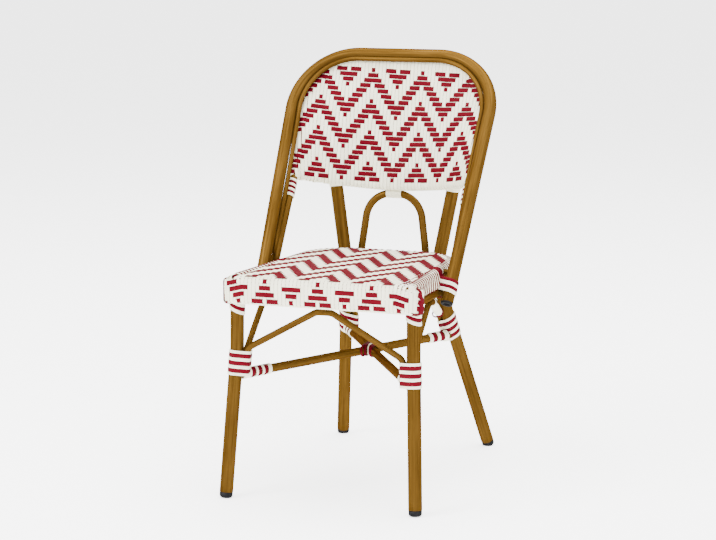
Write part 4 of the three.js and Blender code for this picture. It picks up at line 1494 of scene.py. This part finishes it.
    def strands(self) -> None:
        """Makes the cream strands, from the hoop's top down round the lower rail."""
        lines = []
        heights = np.arange(self.column_z[0], self.column_z[1] - 1, -1.0)
        for column in range(-self.columns, self.columns + 1):
            arc = column * self.sizes.column_pitch
            xs = self.x_at(np.full_like(heights, arc), heights)
            inside = heights[self.nearest_edge(xs, heights)[1] < self.wrap_reach]
            if len(inside) < self.column_least:
                continue
            turn = float(self.turn_height(np.array([arc]))[0])
            v = np.linspace(inside[0], turn - self.tuck, self.column_points)
            u = np.full_like(v, arc)
            row = self.row_at(np.maximum(v, turn), u)
            plain = (row < -0.5) | (row > self.rows - 0.5)
            lift = -self.pattern.lift(row, column, Ribbon.STRAND)
            lines.append((u, v, np.where(plain, self.plain_lift, lift)))
        self.sheet.ribbons("back_strands", lines, Ribbon.STRAND, CREAM, ["back_weave"])

    def lower_rail(self) -> None:
        """Makes the bar that the panel's lower edge is rolled round."""
        arc = np.linspace(-self.rail_reach, self.rail_reach, self.rail_points)
        face, normal = self.surface(arc, self.turn_height(arc))
        centre = face - unit(normal * [1, 1, 0]) * SIZES.weave_radius
        centre = centre[np.abs(centre[:, 0]) < self.half_width - self.rail_end_gap]
        sweep_tube("lower_rail_tube", Route(centre), SIZES.rail_radius, self.wardrobe, ["back_lower_rail"])

    def strips(self) -> None:
        """Makes the red strips, from side to side."""
        lines = []
        reach = np.arange(-self.row_reach, self.row_reach + 1, 1.0)
        for row in range(self.rows):
            z = self.row_height(float(row), reach)
            inside = reach[self.nearest_edge(self.x_at(reach, z), z)[1] < self.wrap_reach]
            u = np.linspace(inside[0], inside[-1], STRIP_POINTS)
            lift = self.pattern.lift(float(row), u / self.sizes.column_pitch, Ribbon.STRIP)
            lines.append((u, self.row_height(float(row), u), lift))
        self.sheet.ribbons("back_strips", lines, Ribbon.STRIP, RED, [])

    def build(self) -> None:
        """Makes the strands, the lower rail and the strips."""
        self.strands()
        self.lower_rail()
        self.strips()


@dataclass
class SeatPanel:
    """The woven seat, which turns down over the front into the apron."""

    wardrobe: Wardrobe
    sizes: StrandSizes = APRON_WEAVE
    top_sizes: StrandSizes = SEAT_WEAVE
    pattern: ZigzagPattern = ZigzagPattern(0, 0, -21)
    apron_rows: int = 4
    apron_pitch: float = 13.4
    seat_rows: int = 33
    seat_pitch: float = 13.7
    row_zero_z: float = 449.7
    rim_overrun: float = 20.0
    middle_y: float = -90.0
    wrap_reach: float = 18.0
    most_turn: float = 2.4
    corner_start: float = 182.0
    corner_length: float = 16.0
    corner_cut: float = 5.5
    columns: int = 28
    corner_gap: float = 2.0
    tuck_share: float = 0.9
    corner_run: float = 8.0
    longest_run: float = 500.0
    column_points: int = 178
    corner_points: int = 40
    plain_from_row: float = 3.55
    plain_lift: float = 0.6
    end_place: float = 206.0
    end_bulge: float = 8.0
    end_lift: float = 4.5
    end_tuck_share: float = 0.3
    end_run: float = 2.0
    apron_reach: float = 224.0
    curl_start: float = 203.0
    curl_length: float = 12.0
    curl_most_share: float = 1.6
    curl_drop: float = 7.0
    raised_from: float = 205.0
    raised_lift: float = 3.0
    seat_reach: float = 230.0
    rear_gap: float = 3.0
    sunk_reach: float = 3.0
    sunk_lift: float = -1.0

    def __post_init__(self) -> None:
        """Works out the plan line of the side and rear rim, and starts the sheet."""
        corners = SIZES.rim_corners(SIZES.front_y - self.rim_overrun)
        rim = Route(whole(rounded(corners, [SIZES.rear_bend])[::-1]))
        line, along, _, _ = rim.at(np.arange(0, rim.length, 1.0))
        self.rim_line = line
        outward = unit(np.cross(along, UP))
        facing = np.sign(np.sum(outward * (line - vec(0, self.middle_y, SIZES.rim_z)), axis=1))
        self.rim_out = outward * facing[:, None]
        self.sheet = WovenSheet(self.sizes, self.surface, self.wardrobe)

    @property
    def top_start(self) -> float:
        """Distance along the sheet where the flat seat starts."""
        return SIZES.weave_radius * math.pi + SIZES.rim_z - SIZES.lower_rail_z

    def front_line(self, across: Points) -> tuple[Points, Points, Points]:
        """The apron's plan line.

        Args:
            across: distances along it from the middle.

        Returns:
            Its points and outward normals in plan, and how far its rim has dropped there.
        """
        bend = SIZES.apron_bend
        straight_run = SIZES.apron_half_width - bend
        away = np.abs(across)
        outer = bend + SIZES.weave_radius
        turn = np.clip((away - straight_run) / outer, 0, math.pi / 2)
        beyond = np.clip(away - straight_run - outer * math.pi / 2, 0, None)
        x = np.minimum(away, straight_run) + bend * np.sin(turn)
        y = SIZES.front_y + bend * (1 - np.cos(turn)) + beyond
        sign = np.where(np.asarray(across) < 0, -1.0, 1.0)
        points = np.stack([sign * x, y], axis=-1)
        normals = np.stack([sign * np.sin(turn), -np.cos(turn)], axis=-1)
        drop_start = SIZES.apron_half_width - 2 * bend
        drop = SIZES.corner_drop * np.clip((away - drop_start) / (2 * bend), 0, 1)
        return points, normals, drop

    def nearest_rim(self, x: Points, y: Points) -> tuple[Points, Points]:
        """The nearest place of the side and rear rim, and how far outside it points of the plan are."""
        return nearest((x, y), self.rim_line[:, :2], self.rim_out[:, :2])

    def surface(self, across: Points, along: Points) -> tuple[Points, Points]:
        """Points and normals of the sheet.

        Args:
            across: distances from the middle.
            along: distances from the apron's lower edge, up over the rim and back.

        Returns:
            Points and unit normals.
        """
        across, along = np.broadcast_arrays(np.asarray(across, float), np.asarray(along, float))
        plan, out, drop = self.front_line(across)
        full = SIZES.weave_radius
        spare = self.corner_cut * smooth((np.abs(across) - self.corner_start) / self.corner_length)
        radius = full - spare
        plan = plan + out * spare[..., None]
        along = along - spare * (math.pi / 2 - 1)
        quarter = radius * math.pi / 2
        low_z = SIZES.lower_rail_z - spare
        face = SIZES.rim_z - drop + spare - low_z
        low_turn = np.clip((quarter - along) / radius, 0, math.pi)[..., None]
        top_turn = np.clip((along - quarter - face) / radius, 0, math.pi / 2)[..., None]
        height = np.clip(along - quarter, 0, face)
        centre = np.concatenate([plan, (low_z + height)[..., None]], axis=-1)
        outward = np.concatenate([out, np.zeros_like(out[..., :1])], axis=-1)
        turned = np.where(low_turn > 0, low_turn, top_turn)
        rise = np.where(low_turn > 0, -np.sin(low_turn), np.sin(top_turn))
        normal = unit(outward * np.cos(turned) + UP * rise)
        run = np.clip(along - quarter - face - quarter, 0, None)
        points = centre + normal * radius[..., None] + run[..., None] * vec(0, 1, 0)
        index, beyond = self.nearest_rim(points[..., 0], points[..., 1])
        outside = ((run > 0) & (beyond > 0))[..., None]
        turn = (np.clip(beyond, 0, self.most_turn * full) / full)[..., None]
        rim_out, rim_line = self.rim_out[index], self.rim_line[index]
        along_rim = np.cross(rim_out, UP)
        shift = np.sum((points - rim_line) * along_rim, axis=-1, keepdims=True)
        rolled_normal = rim_out * np.sin(turn) + UP * np.cos(turn)
        rolled = rim_line + full * rolled_normal + along_rim * shift
        return np.where(outside, rolled, points), np.where(outside, rolled_normal, normal)

    def along_of_row(self, row: Points, across: Points) -> Points:
        """Finds where a row lies.

        Args:
            row: row places.
            across: distances from the middle.

        Returns:
            Distances along the sheet.
        """
        radius = SIZES.weave_radius
        face = SIZES.rim_z - self.front_line(across)[2] - SIZES.lower_rail_z
        turn = math.asin((self.row_zero_z - SIZES.rim_z) / radius)
        zero = radius * math.pi / 2 + face + radius * turn
        pitch = np.where(np.asarray(row) > 0, self.apron_pitch, self.seat_pitch)
        return zero - np.asarray(row) * pitch

    def row_of_along(self, along: Points, across: Points) -> Points:
        """Row place of a distance along the sheet."""
        ahead = self.along_of_row(np.zeros_like(along), across) - along
        return np.where(ahead > 0, ahead / self.apron_pitch, ahead / self.seat_pitch)

    def strands(self) -> None:
        """Makes the cream strands, long ones over the seat and short ones at the apron's corners."""
        low = -SIZES.weave_radius * self.tuck_share
        runs = np.arange(0, self.longest_run + 1, 1.0)
        long_lines, corner_lines = [], []
        for column in range(-self.columns, self.columns + 1):
            across = column * self.sizes.column_pitch
            if abs(across) < SIZES.front_half_width - self.corner_gap:
                beyond = self.nearest_rim(np.full_like(runs, across), SIZES.front_y + runs)[1]
                end = self.top_start + runs[beyond < self.wrap_reach][-1]
                v = np.linspace(low, end, self.column_points)
                lines = long_lines
            else:
                v = np.linspace(low, self.top_start + self.corner_run, self.corner_points)
                lines = corner_lines
            u = np.full_like(v, across)
            row = self.row_of_along(v, u)
            lift = -self.pattern.lift(row, column, Ribbon.STRAND)
            lines.append((u, v, np.where(row > self.plain_from_row, self.plain_lift, lift)))
        self.sheet.ribbons("seat_strands", long_lines, Ribbon.STRAND, CREAM, ["seat_weave"])
        self.sheet.ribbons("apron_corner_strands", corner_lines, Ribbon.STRAND, CREAM, [])

    def end_strips(self) -> None:
        """Makes the upright red strips that close the apron's ends."""
        low = -SIZES.weave_radius * self.end_tuck_share
        v = np.linspace(low, self.top_start + self.end_run, self.corner_points)
        bulge = self.end_bulge * (1 - np.linspace(-1, 1, self.corner_points) ** 2)
        lift = np.full_like(v, self.end_lift)
        lines = [(side * (self.end_place + bulge), v, lift) for side in (-1, 1)]
        self.sheet.ribbons("apron_end_strips", lines, Ribbon.STRAND, RED, [])

    def apron_strips(self) -> None:
        """Makes the red strips of the apron, whose ends curl down."""
        lines = []
        u = np.linspace(-self.apron_reach, self.apron_reach, STRIP_POINTS)
        curl = np.clip((np.abs(u) - self.curl_start) / self.curl_length, 0, self.curl_most_share) ** 2
        for row in range(self.apron_rows - 1, -1, -1):
            v = self.along_of_row(float(row), u) - self.curl_drop * curl
            lift = self.pattern.lift(float(row), u / self.sizes.column_pitch, Ribbon.STRIP)
            lines.append((u, v, np.where(np.abs(u) > self.raised_from, self.raised_lift, lift)))
        self.sheet.ribbons("apron_strips", lines, Ribbon.STRIP, RED, [])

    def seat_strips(self) -> None:
        """Makes the red strips of the seat, whose ends sink between the turns of the rim."""
        lines = []
        reach = np.arange(-self.seat_reach, self.seat_reach + 1, 1.0)
        for row in range(-1, -self.seat_rows - 1, -1):
            along = float(self.along_of_row(float(row), np.zeros(1))[0])
            y = SIZES.front_y + along - self.top_start
            inside = reach[self.nearest_rim(reach, np.full_like(reach, y))[1] < self.wrap_reach]
            if y > SIZES.rear_y - self.rear_gap or not len(inside):
                continue
            u = np.linspace(inside[0], inside[-1], STRIP_POINTS)
            lift = self.pattern.lift(float(row), u / self.sizes.column_pitch, Ribbon.STRIP)
            sunk = self.nearest_rim(u, np.full_like(u, y))[1] > -self.sunk_reach
            lines.append((u, np.full_like(u, along), np.where(sunk, self.sunk_lift, lift)))
        fuller = WovenSheet(self.top_sizes, self.surface, self.wardrobe)
        fuller.ribbons("seat_strips", lines, Ribbon.STRIP, RED, [])

    def build(self) -> None:
        """Makes the strands and the strips."""
        self.strands()
        self.end_strips()
        self.apron_strips()
        self.seat_strips()


# Wound edges and bands


@dataclass(frozen=True)
class Member:
    """A tube inside a wound band: its place in the band's plane and its radius."""

    place: tuple[float, float]
    radius: float


class Winding:
    """Turns of strip wound side by side round one or more tubes."""

    squareness = 0.6
    template, where = ring_template(profile=8, around=40)

    def __init__(self, name: str, wardrobe: Wardrobe, slot: Slot = Slot.WOUND) -> None:
        """Starts an empty winding.

        Args:
            name: its name; each colour becomes one piece.
            wardrobe: the finishes.
            slot: its material slot; it is kept but not used.
        """
        self.name = name
        self.wardrobe = wardrobe
        self.slot = slot
        self.turns: dict[Colour, list[tuple[Points, Points]]] = {CREAM: [], RED: []}

    def turn(
        self,
        centre: Point,
        axes: tuple[Point, Point, Point],
        members: Sequence[Member],
        width: float,
        thickness: float,
        colour: Colour,
        climb: float = 0.0,
        seam: float = 0.0,
        slant: float = 0.0,
    ) -> None:
        """Adds one turn.

        Args:
            centre: the main tube's centre.
            axes: the band's first and second axes and its axis along the tube.
            members: the tubes that the turn goes round.
            width: the strip's width.
            thickness: the strip's thickness.
            colour: the strip's colour.
            climb: how far the turn climbs.
            seam: the angle where its ends meet.
            slant: how far it rises along the tube for each unit along the first axis.
        """
        first, second, along = axes
        angle, outward, axial = self.where.T
        direction = np.column_stack([np.cos(angle), np.sin(angle)])
        reach = np.array([m.radius + direction @ np.array(m.place) for m in members])
        chosen = np.argmax(reach, axis=0)
        places = np.array([m.place for m in members])[chosen]
        radii = np.array([m.radius for m in members])[chosen]
        out = radii + thickness * (0.5 + 0.5 * squared(outward, self.squareness))
        flat = places + direction * out[:, None]
        lap = np.mod(angle - seam, 2 * math.pi) / (2 * math.pi) - 0.5
        rise = squared(axial, self.squareness) * width / 2 + climb * lap + slant * flat[:, 0]
        points = centre + flat[:, :1] * first + flat[:, 1:] * second + rise[:, None] * along
        shift = TURN_GRAIN_STEP * len(self.turns[colour])
        grain = np.column_stack([rise + shift, angle * TURN_GRAIN_RADIUS, outward])
        self.turns[colour].append((points, grain))

    def build(self, nodes: Iterable[str]) -> None:
        """Makes one piece for each colour that was used.

        Args:
            nodes: the nodes that the winding stands for.
        """
        left = list(nodes)
        for colour, turns in self.turns.items():
            if not turns:
                continue
            name = f"{self.name}_{colour.value}"
            mesh = copies(self.template, len(turns), name)
            points = np.vstack([p for p, _ in turns])
            grain = np.vstack([g for _, g in turns])
            finish_piece(name, mesh, points, grain, self.wardrobe.strands[colour], left)
            left = []


def band_axes(start: Point, end: Point) -> tuple[Point, Point, Point]:
    """Finds the axes of a band between two points.

    Args:
        start: where the band starts.
        end: where it ends.

    Returns:
        Its first and second axes and its axis along the tube.
    """
    along = unit(end - start)
    sideways = vec(0, 1, 0) if abs(along[0]) > MOSTLY_SIDEWAYS else vec(1, 0, 0)
    first = unit(sideways - along * (sideways @ along))
    return first, np.cross(along, first), along


Turns = list[tuple[Colour, float]]


def stripes(*groups: tuple[Colour, int, float]) -> Turns:
    """Turns of a band, from groups of a colour, a count and a strip width."""
    return [(colour, width) for colour, count, width in groups for _ in range(count)]


RED_LEG_TURN = (RED, 1, 8.0)
LEG_TURNS = stripes(
    (CREAM, 2, 2.5),
    RED_LEG_TURN,
    (CREAM, 2, 3.0),
    RED_LEG_TURN,
    (CREAM, 2, 3.0),
    RED_LEG_TURN,
    (CREAM, 2, 2.6),
)
LEG_TOP_TURNS = stripes((CREAM, 2, 3.7), RED_LEG_TURN, (CREAM, 2, 3.8))
FRONT_SLEEVE_PAIR = ((RED, 1, 10.0), (CREAM, 2, 2.6))
FRONT_STRETCHER_TURNS = stripes(
    (CREAM, 4, 4.5), *FRONT_SLEEVE_PAIR, *FRONT_SLEEVE_PAIR, (RED, 1, 10.0), (CREAM, 2, 4.0)
)
RED_SLEEVE_TURN = (RED, 1, 11.5)
REAR_STRETCHER_TURNS = stripes(
    (CREAM, 2, 5.4), RED_SLEEVE_TURN, (CREAM, 2, 4.0), RED_SLEEVE_TURN, (CREAM, 2, 4.6)
)
HOOP_END_TURNS = stripes((CREAM, 2, 3.4), (RED, 1, 6.2), (CREAM, 2, 3.4), (RED, 1, 6.2))
INNER_HOOP_TURNS = stripes((CREAM, 1, 5.0)) + stripes((RED, 1, 4.4), (CREAM, 1, 4.6)) * 3
UPRIGHT_TURNS = stripes((CREAM, 2, 4.2), (RED, 1, 3.4), (CREAM, 1, 4.2))
SIDE_BRACE_TURNS = stripes((CREAM, 60, 4.2))
SIDE_BRACE_END_TURNS = stripes((RED, 3, 6.0))


@dataclass
class Bindings:
    """The wound bands over the joints, and the turns round the seat's rim."""

    wardrobe: Wardrobe
    under: Undercarriage
    back: BackFrame
    thickness: float = 2.2
    filled_share: float = 0.98
    front_leg_z: tuple[float, float] = (250.7, 300.7)
    front_leg_climb_share: float = 0.6
    rear_leg_z: tuple[float, float] = (265.2, 312.7)
    rear_leg_slant: float = 0.34
    leg_top_z: tuple[float, float] = (380.0, 403.0)
    leg_top_slant: float = 0.40
    hoop_end_z: tuple[float, float] = (410.7, 436.0)
    hoop_end_slant: float = -0.22
    side_bar_x: float = 188.0
    inner_hoop_z: tuple[float, float] = (575.0, 609.0)
    upright_z: tuple[float, float] = (586.0, 603.0)
    front_stretcher_run: tuple[float, float] = (4.0, 71.0)
    rear_stretcher_run: tuple[float, float] = (6.0, 58.0)
    crossing_pitch: float = 5.2
    crossing_width: float = 5.1
    crossing_thickness: float = 3.0
    crossing_radius: float = 9.6
    crossing_apart: float = 5.5
    arch_turns: int = 10
    arch_pitch: float = 3.4
    arch_width: float = 3.3
    side_brace_lead: float = 14.0
    side_brace_run: tuple[float, float] = (252.0, 270.0)
    knot_place: Place = (-6.0, 0.0, -5.0)
    knot_radius: float = 5.0
    edge_start: float = 7.1
    edge_step: float = 4.57
    edge_red: tuple[float, float] = (6.4, 3.6)
    edge_cream: tuple[float, float] = (3.9, 2.5)
    web_end_y: float = -92.0
    web_drop: float = 20.0
    web_radius: float = 4.0
    gather_start: float = -91.0
    gather_pitch: float = 5.4
    gather_turns: int = 5
    gather_size: tuple[float, float] = (5.3, 3.9)

    def wind(
        self,
        joint: str,
        ends: Iterable[Point],
        radius: float,
        turns: Turns,
        members: Sequence[tuple[Point, float]] = (),
        climb_share: float = 1.0,
        slant: float = 0.0,
        same_way: bool = False,
        whole_wrap: bool = True,
    ) -> None:
        """Winds a band of turns from one point to another on the left side and mirrors it.

        Args:
            joint: the joint's name.
            ends: where the turns start and end, on the main tube's centre line.
            radius: the main tube's radius.
            turns: the colour and strip width of each turn, from start to end.
            members: the other tubes, each with a point of its centre line and its radius.
            climb_share: the share of a strip's width that each turn climbs.
            slant: how far each turn rises towards the outside of the chair.
            same_way: whether both sides slant the same way as seen from the front.
            whole_wrap: whether the band stands for the joint's wrap nodes.
        """
        start, end = ends
        axes = band_axes(start, end)
        first, second, along = axes
        around = [Member((0.0, 0.0), radius)]
        for point, other in members:
            offset = point - start
            around.append(Member((float(offset @ first), float(offset @ second)), other))
        stretch = float(np.linalg.norm(end - start)) / sum(width for _, width in turns)
        for side, word in SIDES:
            winding = Winding(f"{joint}_band_{word}", self.wardrobe)
            side_axes = tuple(on_side(axis, side) for axis in axes)
            side_slant = -slant if same_way and side > 0 else slant
            done = 0.0
            for colour, strip in turns:
                width = strip * stretch
                centre = on_side(start + along * (done + width / 2), side)
                winding.turn(centre, side_axes, around, width * self.filled_share, self.thickness, colour,
                             width * climb_share, math.pi / 2, side_slant)
                done += width
            winding.build([f"{joint}_wrap_{word}"] if whole_wrap else [])

    def leg_bands(self) -> None:
        """Winds the big bands that hold the braces to the legs."""
        u = self.under
        inset = vec(SIZES.brace_inset, 0, 0)
        ends = [u.front_leg.at_height(z) for z in self.front_leg_z]
        side_brace = vec(u.side_x, u.side_foot_y, ends[0][2])
        members = [(ends[0] - inset, SIZES.brace_radius), (side_brace, SIZES.brace_radius)]
        self.wind("front_leg", ends, SIZES.leg_radius, LEG_TURNS, members, self.front_leg_climb_share)
        ends = [u.rear_leg.at_height(z) for z in self.rear_leg_z]
        members = [(ends[0] - inset, SIZES.brace_radius)]
        self.wind("rear_leg", ends, SIZES.leg_radius, LEG_TURNS, members, slant=self.rear_leg_slant)

    def stretcher_bands(self) -> None:
        """Winds the bands at the stretchers' ends and over their crossing."""
        line = self.under.stretcher()
        towards = unit(line[-1] - line[0])
        near, far = SIZES.leg_radius + np.array([self.front_stretcher_run, self.rear_stretcher_run])
        ends = [line[0] + towards * run for run in near]
        self.wind("front_stretcher", ends, SIZES.stretcher_radius, FRONT_STRETCHER_TURNS)
        ends = [mirrored(line[-1] - towards * run) for run in far]
        self.wind("rear_stretcher", ends, SIZES.stretcher_radius, REAR_STRETCHER_TURNS)
        winding = Winding("crossing_band", self.wardrobe)
        middle = line[0] + towards * (-line[0][0] / towards[0])
        across = (vec(0, 1, 0), UP, vec(1, 0, 0))
        spread = abs(towards[1] / towards[0])
        for number in range(-2, 3):
            x = self.crossing_pitch * number
            apart = spread * abs(x) + self.crossing_apart
            around = [Member((-apart, 0.0), self.crossing_radius), Member((apart, 0.0), self.crossing_radius)]
            colour = RED if number else CREAM
            winding.turn(middle + vec(x, 0, 0), across, around, self.crossing_width, self.crossing_thickness,
                         colour, seam=math.pi)
        winding.build(["crossing_wrap"])

    def upper_bands(self) -> None:
        """Winds the bands at the legs' tops, the hoops, the uprights and the arch."""
        u = self.under
        ends = [u.front_leg.at_height(z) for z in self.leg_top_z]
        self.wind("leg_top", ends, SIZES.leg_radius, LEG_TOP_TURNS, slant=self.leg_top_slant, same_way=True)
        ends = [self.back.leg_at(z) for z in self.hoop_end_z]
        bar = [(vec(self.side_bar_x, *ends[0][1:]), SIZES.rail_radius)]
        self.wind("hoop_end", ends, SIZES.hoop_radius, HOOP_END_TURNS, bar, slant=self.hoop_end_slant)
        inner = Route(self.back.inner_half())
        ends = [inner.at_height(z) for z in self.inner_hoop_z]
        self.wind("inner_hoop", ends, SIZES.inner_hoop_radius, INNER_HOOP_TURNS)
        ends = [u.rear_leg.at_height(z) for z in self.upright_z]
        self.wind("upright", ends, SIZES.leg_radius, UPRIGHT_TURNS)
        winding = Winding("arch_band", self.wardrobe)
        axes = band_axes(vec(-1, 0, 0), vec(1, 0, 0))
        arch = [Member((0, 0), self.back.arch_radius)]
        for number in range(self.arch_turns):
            x = self.arch_pitch * (number - (self.arch_turns - 1) / 2)
            centre = vec(x, *self.back.arch_shoulder[1:])
            winding.turn(centre, axes, arch, self.arch_width, self.thickness, CREAM)
        winding.build(["arch_wrap"])

    def side_brace_bands(self) -> None:
        """Winds the side braces' rear runs, which end in a red knot."""
        brace = Route(self.under.side_brace())
        top = int(np.argmax(brace.stations[:, 2]))
        runs = brace.lengths[top] + self.side_brace_lead + np.array([0.0, *self.side_brace_run])
        start, middle, end = brace.at(runs)[0]
        self.wind("side_brace", (start, middle), SIZES.brace_radius, SIDE_BRACE_TURNS)
        knot = [(middle + vec(*self.knot_place), self.knot_radius)]
        radius = SIZES.brace_radius + self.thickness
        self.wind("side_brace_end", (middle, end), radius, SIDE_BRACE_END_TURNS, knot, whole_wrap=False)

    def rim_turns(self, winding: Winding, bar: Route, side: int) -> None:
        """Winds red and cream turns along the seat's rim, with a web below them at the front.

        Args:
            winding: the winding that they join.
            bar: the rim's centre line, from the front.
            side: 1 for the sitter's left, -1 for the right.
        """
        rim = Member((0, 0), SIZES.rail_radius)
        for number in range(-1, int(bar.length / self.edge_step) - 1):
            distance = self.edge_start + self.edge_step * number
            centre, along, first, second = (values[0] for values in bar.at(np.array([distance])))
            tubes = [rim]
            if centre[1] < self.web_end_y:
                down = vec(side * (SIZES.lower_side_x - abs(centre[0])), 0, -self.web_drop)
                tubes.append(Member((float(down @ first), float(down @ second)), self.web_radius))
            colour, size = (CREAM, self.edge_cream) if number % 3 else (RED, self.edge_red)
            winding.turn(centre, (first, second, along), tubes, *size, colour)

    def gathered_turns(self, winding: Winding, side: int) -> None:
        """Winds the red turns that gather the rim and the lower rail where the web ends.

        Args:
            winding: the winding that they join.
            side: 1 for the sitter's left, -1 for the right.
        """
        for number in range(self.gather_turns):
            y = self.gather_start + self.gather_pitch * number
            x = float(SIZES.side_x(y))
            centre = vec(side * x, y, SIZES.rim_z)
            below = (side * (SIZES.lower_side_x - x), SIZES.rim_z - SIZES.lower_rail_z)
            tubes = [Member((0, 0), SIZES.rail_radius), Member(below, SIZES.lower_side_radius)]
            winding.turn(centre, band_axes(centre, centre + vec(0, 1, 0)), tubes, *self.gather_size, RED)

    def edges(self) -> None:
        """Winds the seat's rim between the ends of its strips."""
        winding = Winding("seat_edge", self.wardrobe, Slot.WOVEN)
        rim = rounded(SIZES.rim_corners(SIZES.apron_return_y), [SIZES.rear_bend])
        for side, _ in SIDES:
            self.rim_turns(winding, Route(on_side(rim, side)), side)
            self.gathered_turns(winding, side)
        winding.build([])

    def build(self) -> None:
        """Winds every band."""
        self.leg_bands()
        self.stretcher_bands()
        self.upper_bands()
        self.side_brace_bands()
        self.edges()


# Studio


@dataclass(frozen=True)
class Lamp:
    """A soft square lamp: its place and side in metres, and its power in watts."""

    name: str
    place: Place
    size: float
    power: float


@dataclass
class Studio:
    """Camera, lamps, sky and floor."""

    lens: float = 105.59
    sensor: float = 36.0
    view_end: float = 200.0
    camera_place: Place = (1448.4, -4091.6, 1137.2)
    azimuth: float = 0.346259
    elevation: float = 0.161054
    roll: float = 0.002034
    lamps: tuple[Lamp, ...] = (
        Lamp("key", (-2.4, -3.2, 3.2), 2.2, 300.0),
        Lamp("fill", (3.0, -2.0, 2.0), 2.5, 70.0),
        Lamp("top", (0.2, 0.4, 4.6), 5.0, 640.0),
    )
    aim_z: float = 0.45
    sky_strength: float = 1.3
    floor_half_size: float = 70.0
    floor_cells: int = 8

    def camera(self) -> None:
        """Places the camera at the photograph's angle."""
        data = bpy.data.cameras.new("camera")
        data.lens = self.lens
        data.sensor_width = self.sensor
        data.clip_end = self.view_end
        eye = bpy.data.objects.new("camera", data)
        back = Vector((
            math.sin(self.azimuth) * math.cos(self.elevation),
            -math.cos(self.azimuth) * math.cos(self.elevation),
            math.sin(self.elevation),
        ))
        right = Vector((0, 0, 1)).cross(back).normalized()
        up = back.cross(right)
        c, s = math.cos(self.roll), math.sin(self.roll)
        turned_right = right * c + up * s
        turned_up = up * c - right * s
        basis = Matrix((turned_right, turned_up, back)).transposed().to_4x4()
        eye.matrix_world = Matrix.Translation(Vector(self.camera_place) * MM) @ basis
        bpy.context.scene.collection.objects.link(eye)
        bpy.context.scene.camera = eye

    def light(self, lamp: Lamp) -> None:
        """Adds a lamp that faces the chair.

        Args:
            lamp: its name, place, size and power.
        """
        data = bpy.data.lights.new(lamp.name, "AREA")
        data.size = lamp.size
        data.energy = lamp.power
        stand = bpy.data.objects.new(lamp.name, data)
        stand.location = lamp.place
        aim = Vector((0, 0, self.aim_z)) - stand.location
        stand.rotation_euler = aim.to_track_quat("-Z", "Y").to_euler()
        bpy.context.scene.collection.objects.link(stand)

    def sky(self) -> None:
        """Fills the world with an even white light."""
        world = bpy.data.worlds.new("studio")
        world.use_nodes = True
        background = world.node_tree.nodes["Background"]
        background.inputs["Color"].default_value = (1.0, 1.0, 1.0, 1.0)
        background.inputs["Strength"].default_value = self.sky_strength
        bpy.context.scene.world = world

    def floor(self) -> None:
        """Lays the floor."""
        work = bmesh.new()
        cells = self.floor_cells
        bmesh.ops.create_grid(work, x_segments=cells, y_segments=cells, size=self.floor_half_size)
        mesh, _ = mesh_of(work, "floor")
        mesh.materials.append(StudioFloor().build())
        floor = bpy.data.objects.new("floor", mesh)
        floor.visible_glossy = False
        bpy.context.scene.collection.objects.link(floor)

    def build(self) -> None:
        """Makes the studio."""
        self.camera()
        for lamp in self.lamps:
            self.light(lamp)
        self.sky()
        self.floor()


def dress_nodes(wardrobe: Wardrobe) -> None:
    """Gives the model's own nodes their finishes.

    Args:
        wardrobe: the finishes.
    """
    slots = {entry["node"]: entry["material_slot"] for entry in frame["record"]["subparts"]}
    materials = {
        Slot.PAINT: wardrobe.hidden_paint,
        Slot.WOVEN: wardrobe.strands[CREAM],
        Slot.WOUND: wardrobe.strands[CREAM],
        Slot.PLASTIC: wardrobe.plastic,
    }
    for name, node in frame["nodes"].items():
        for slot in node.material_slots:
            slot.material = materials[Slot(slots[name])]


def main() -> None:
    """Builds the chair and the studio."""
    logging.basicConfig(level=logging.INFO, format="%(message)s")
    wardrobe = Wardrobe()
    dress_nodes(wardrobe)
    Studio().build()
    back = BackFrame(wardrobe)
    back.build()
    under = Undercarriage(wardrobe)
    under.build()
    BackPanel(wardrobe, back).build()
    SeatPanel(wardrobe).build()
    Bindings(wardrobe, under, back).build()


if __name__ == "__main__":
    main()
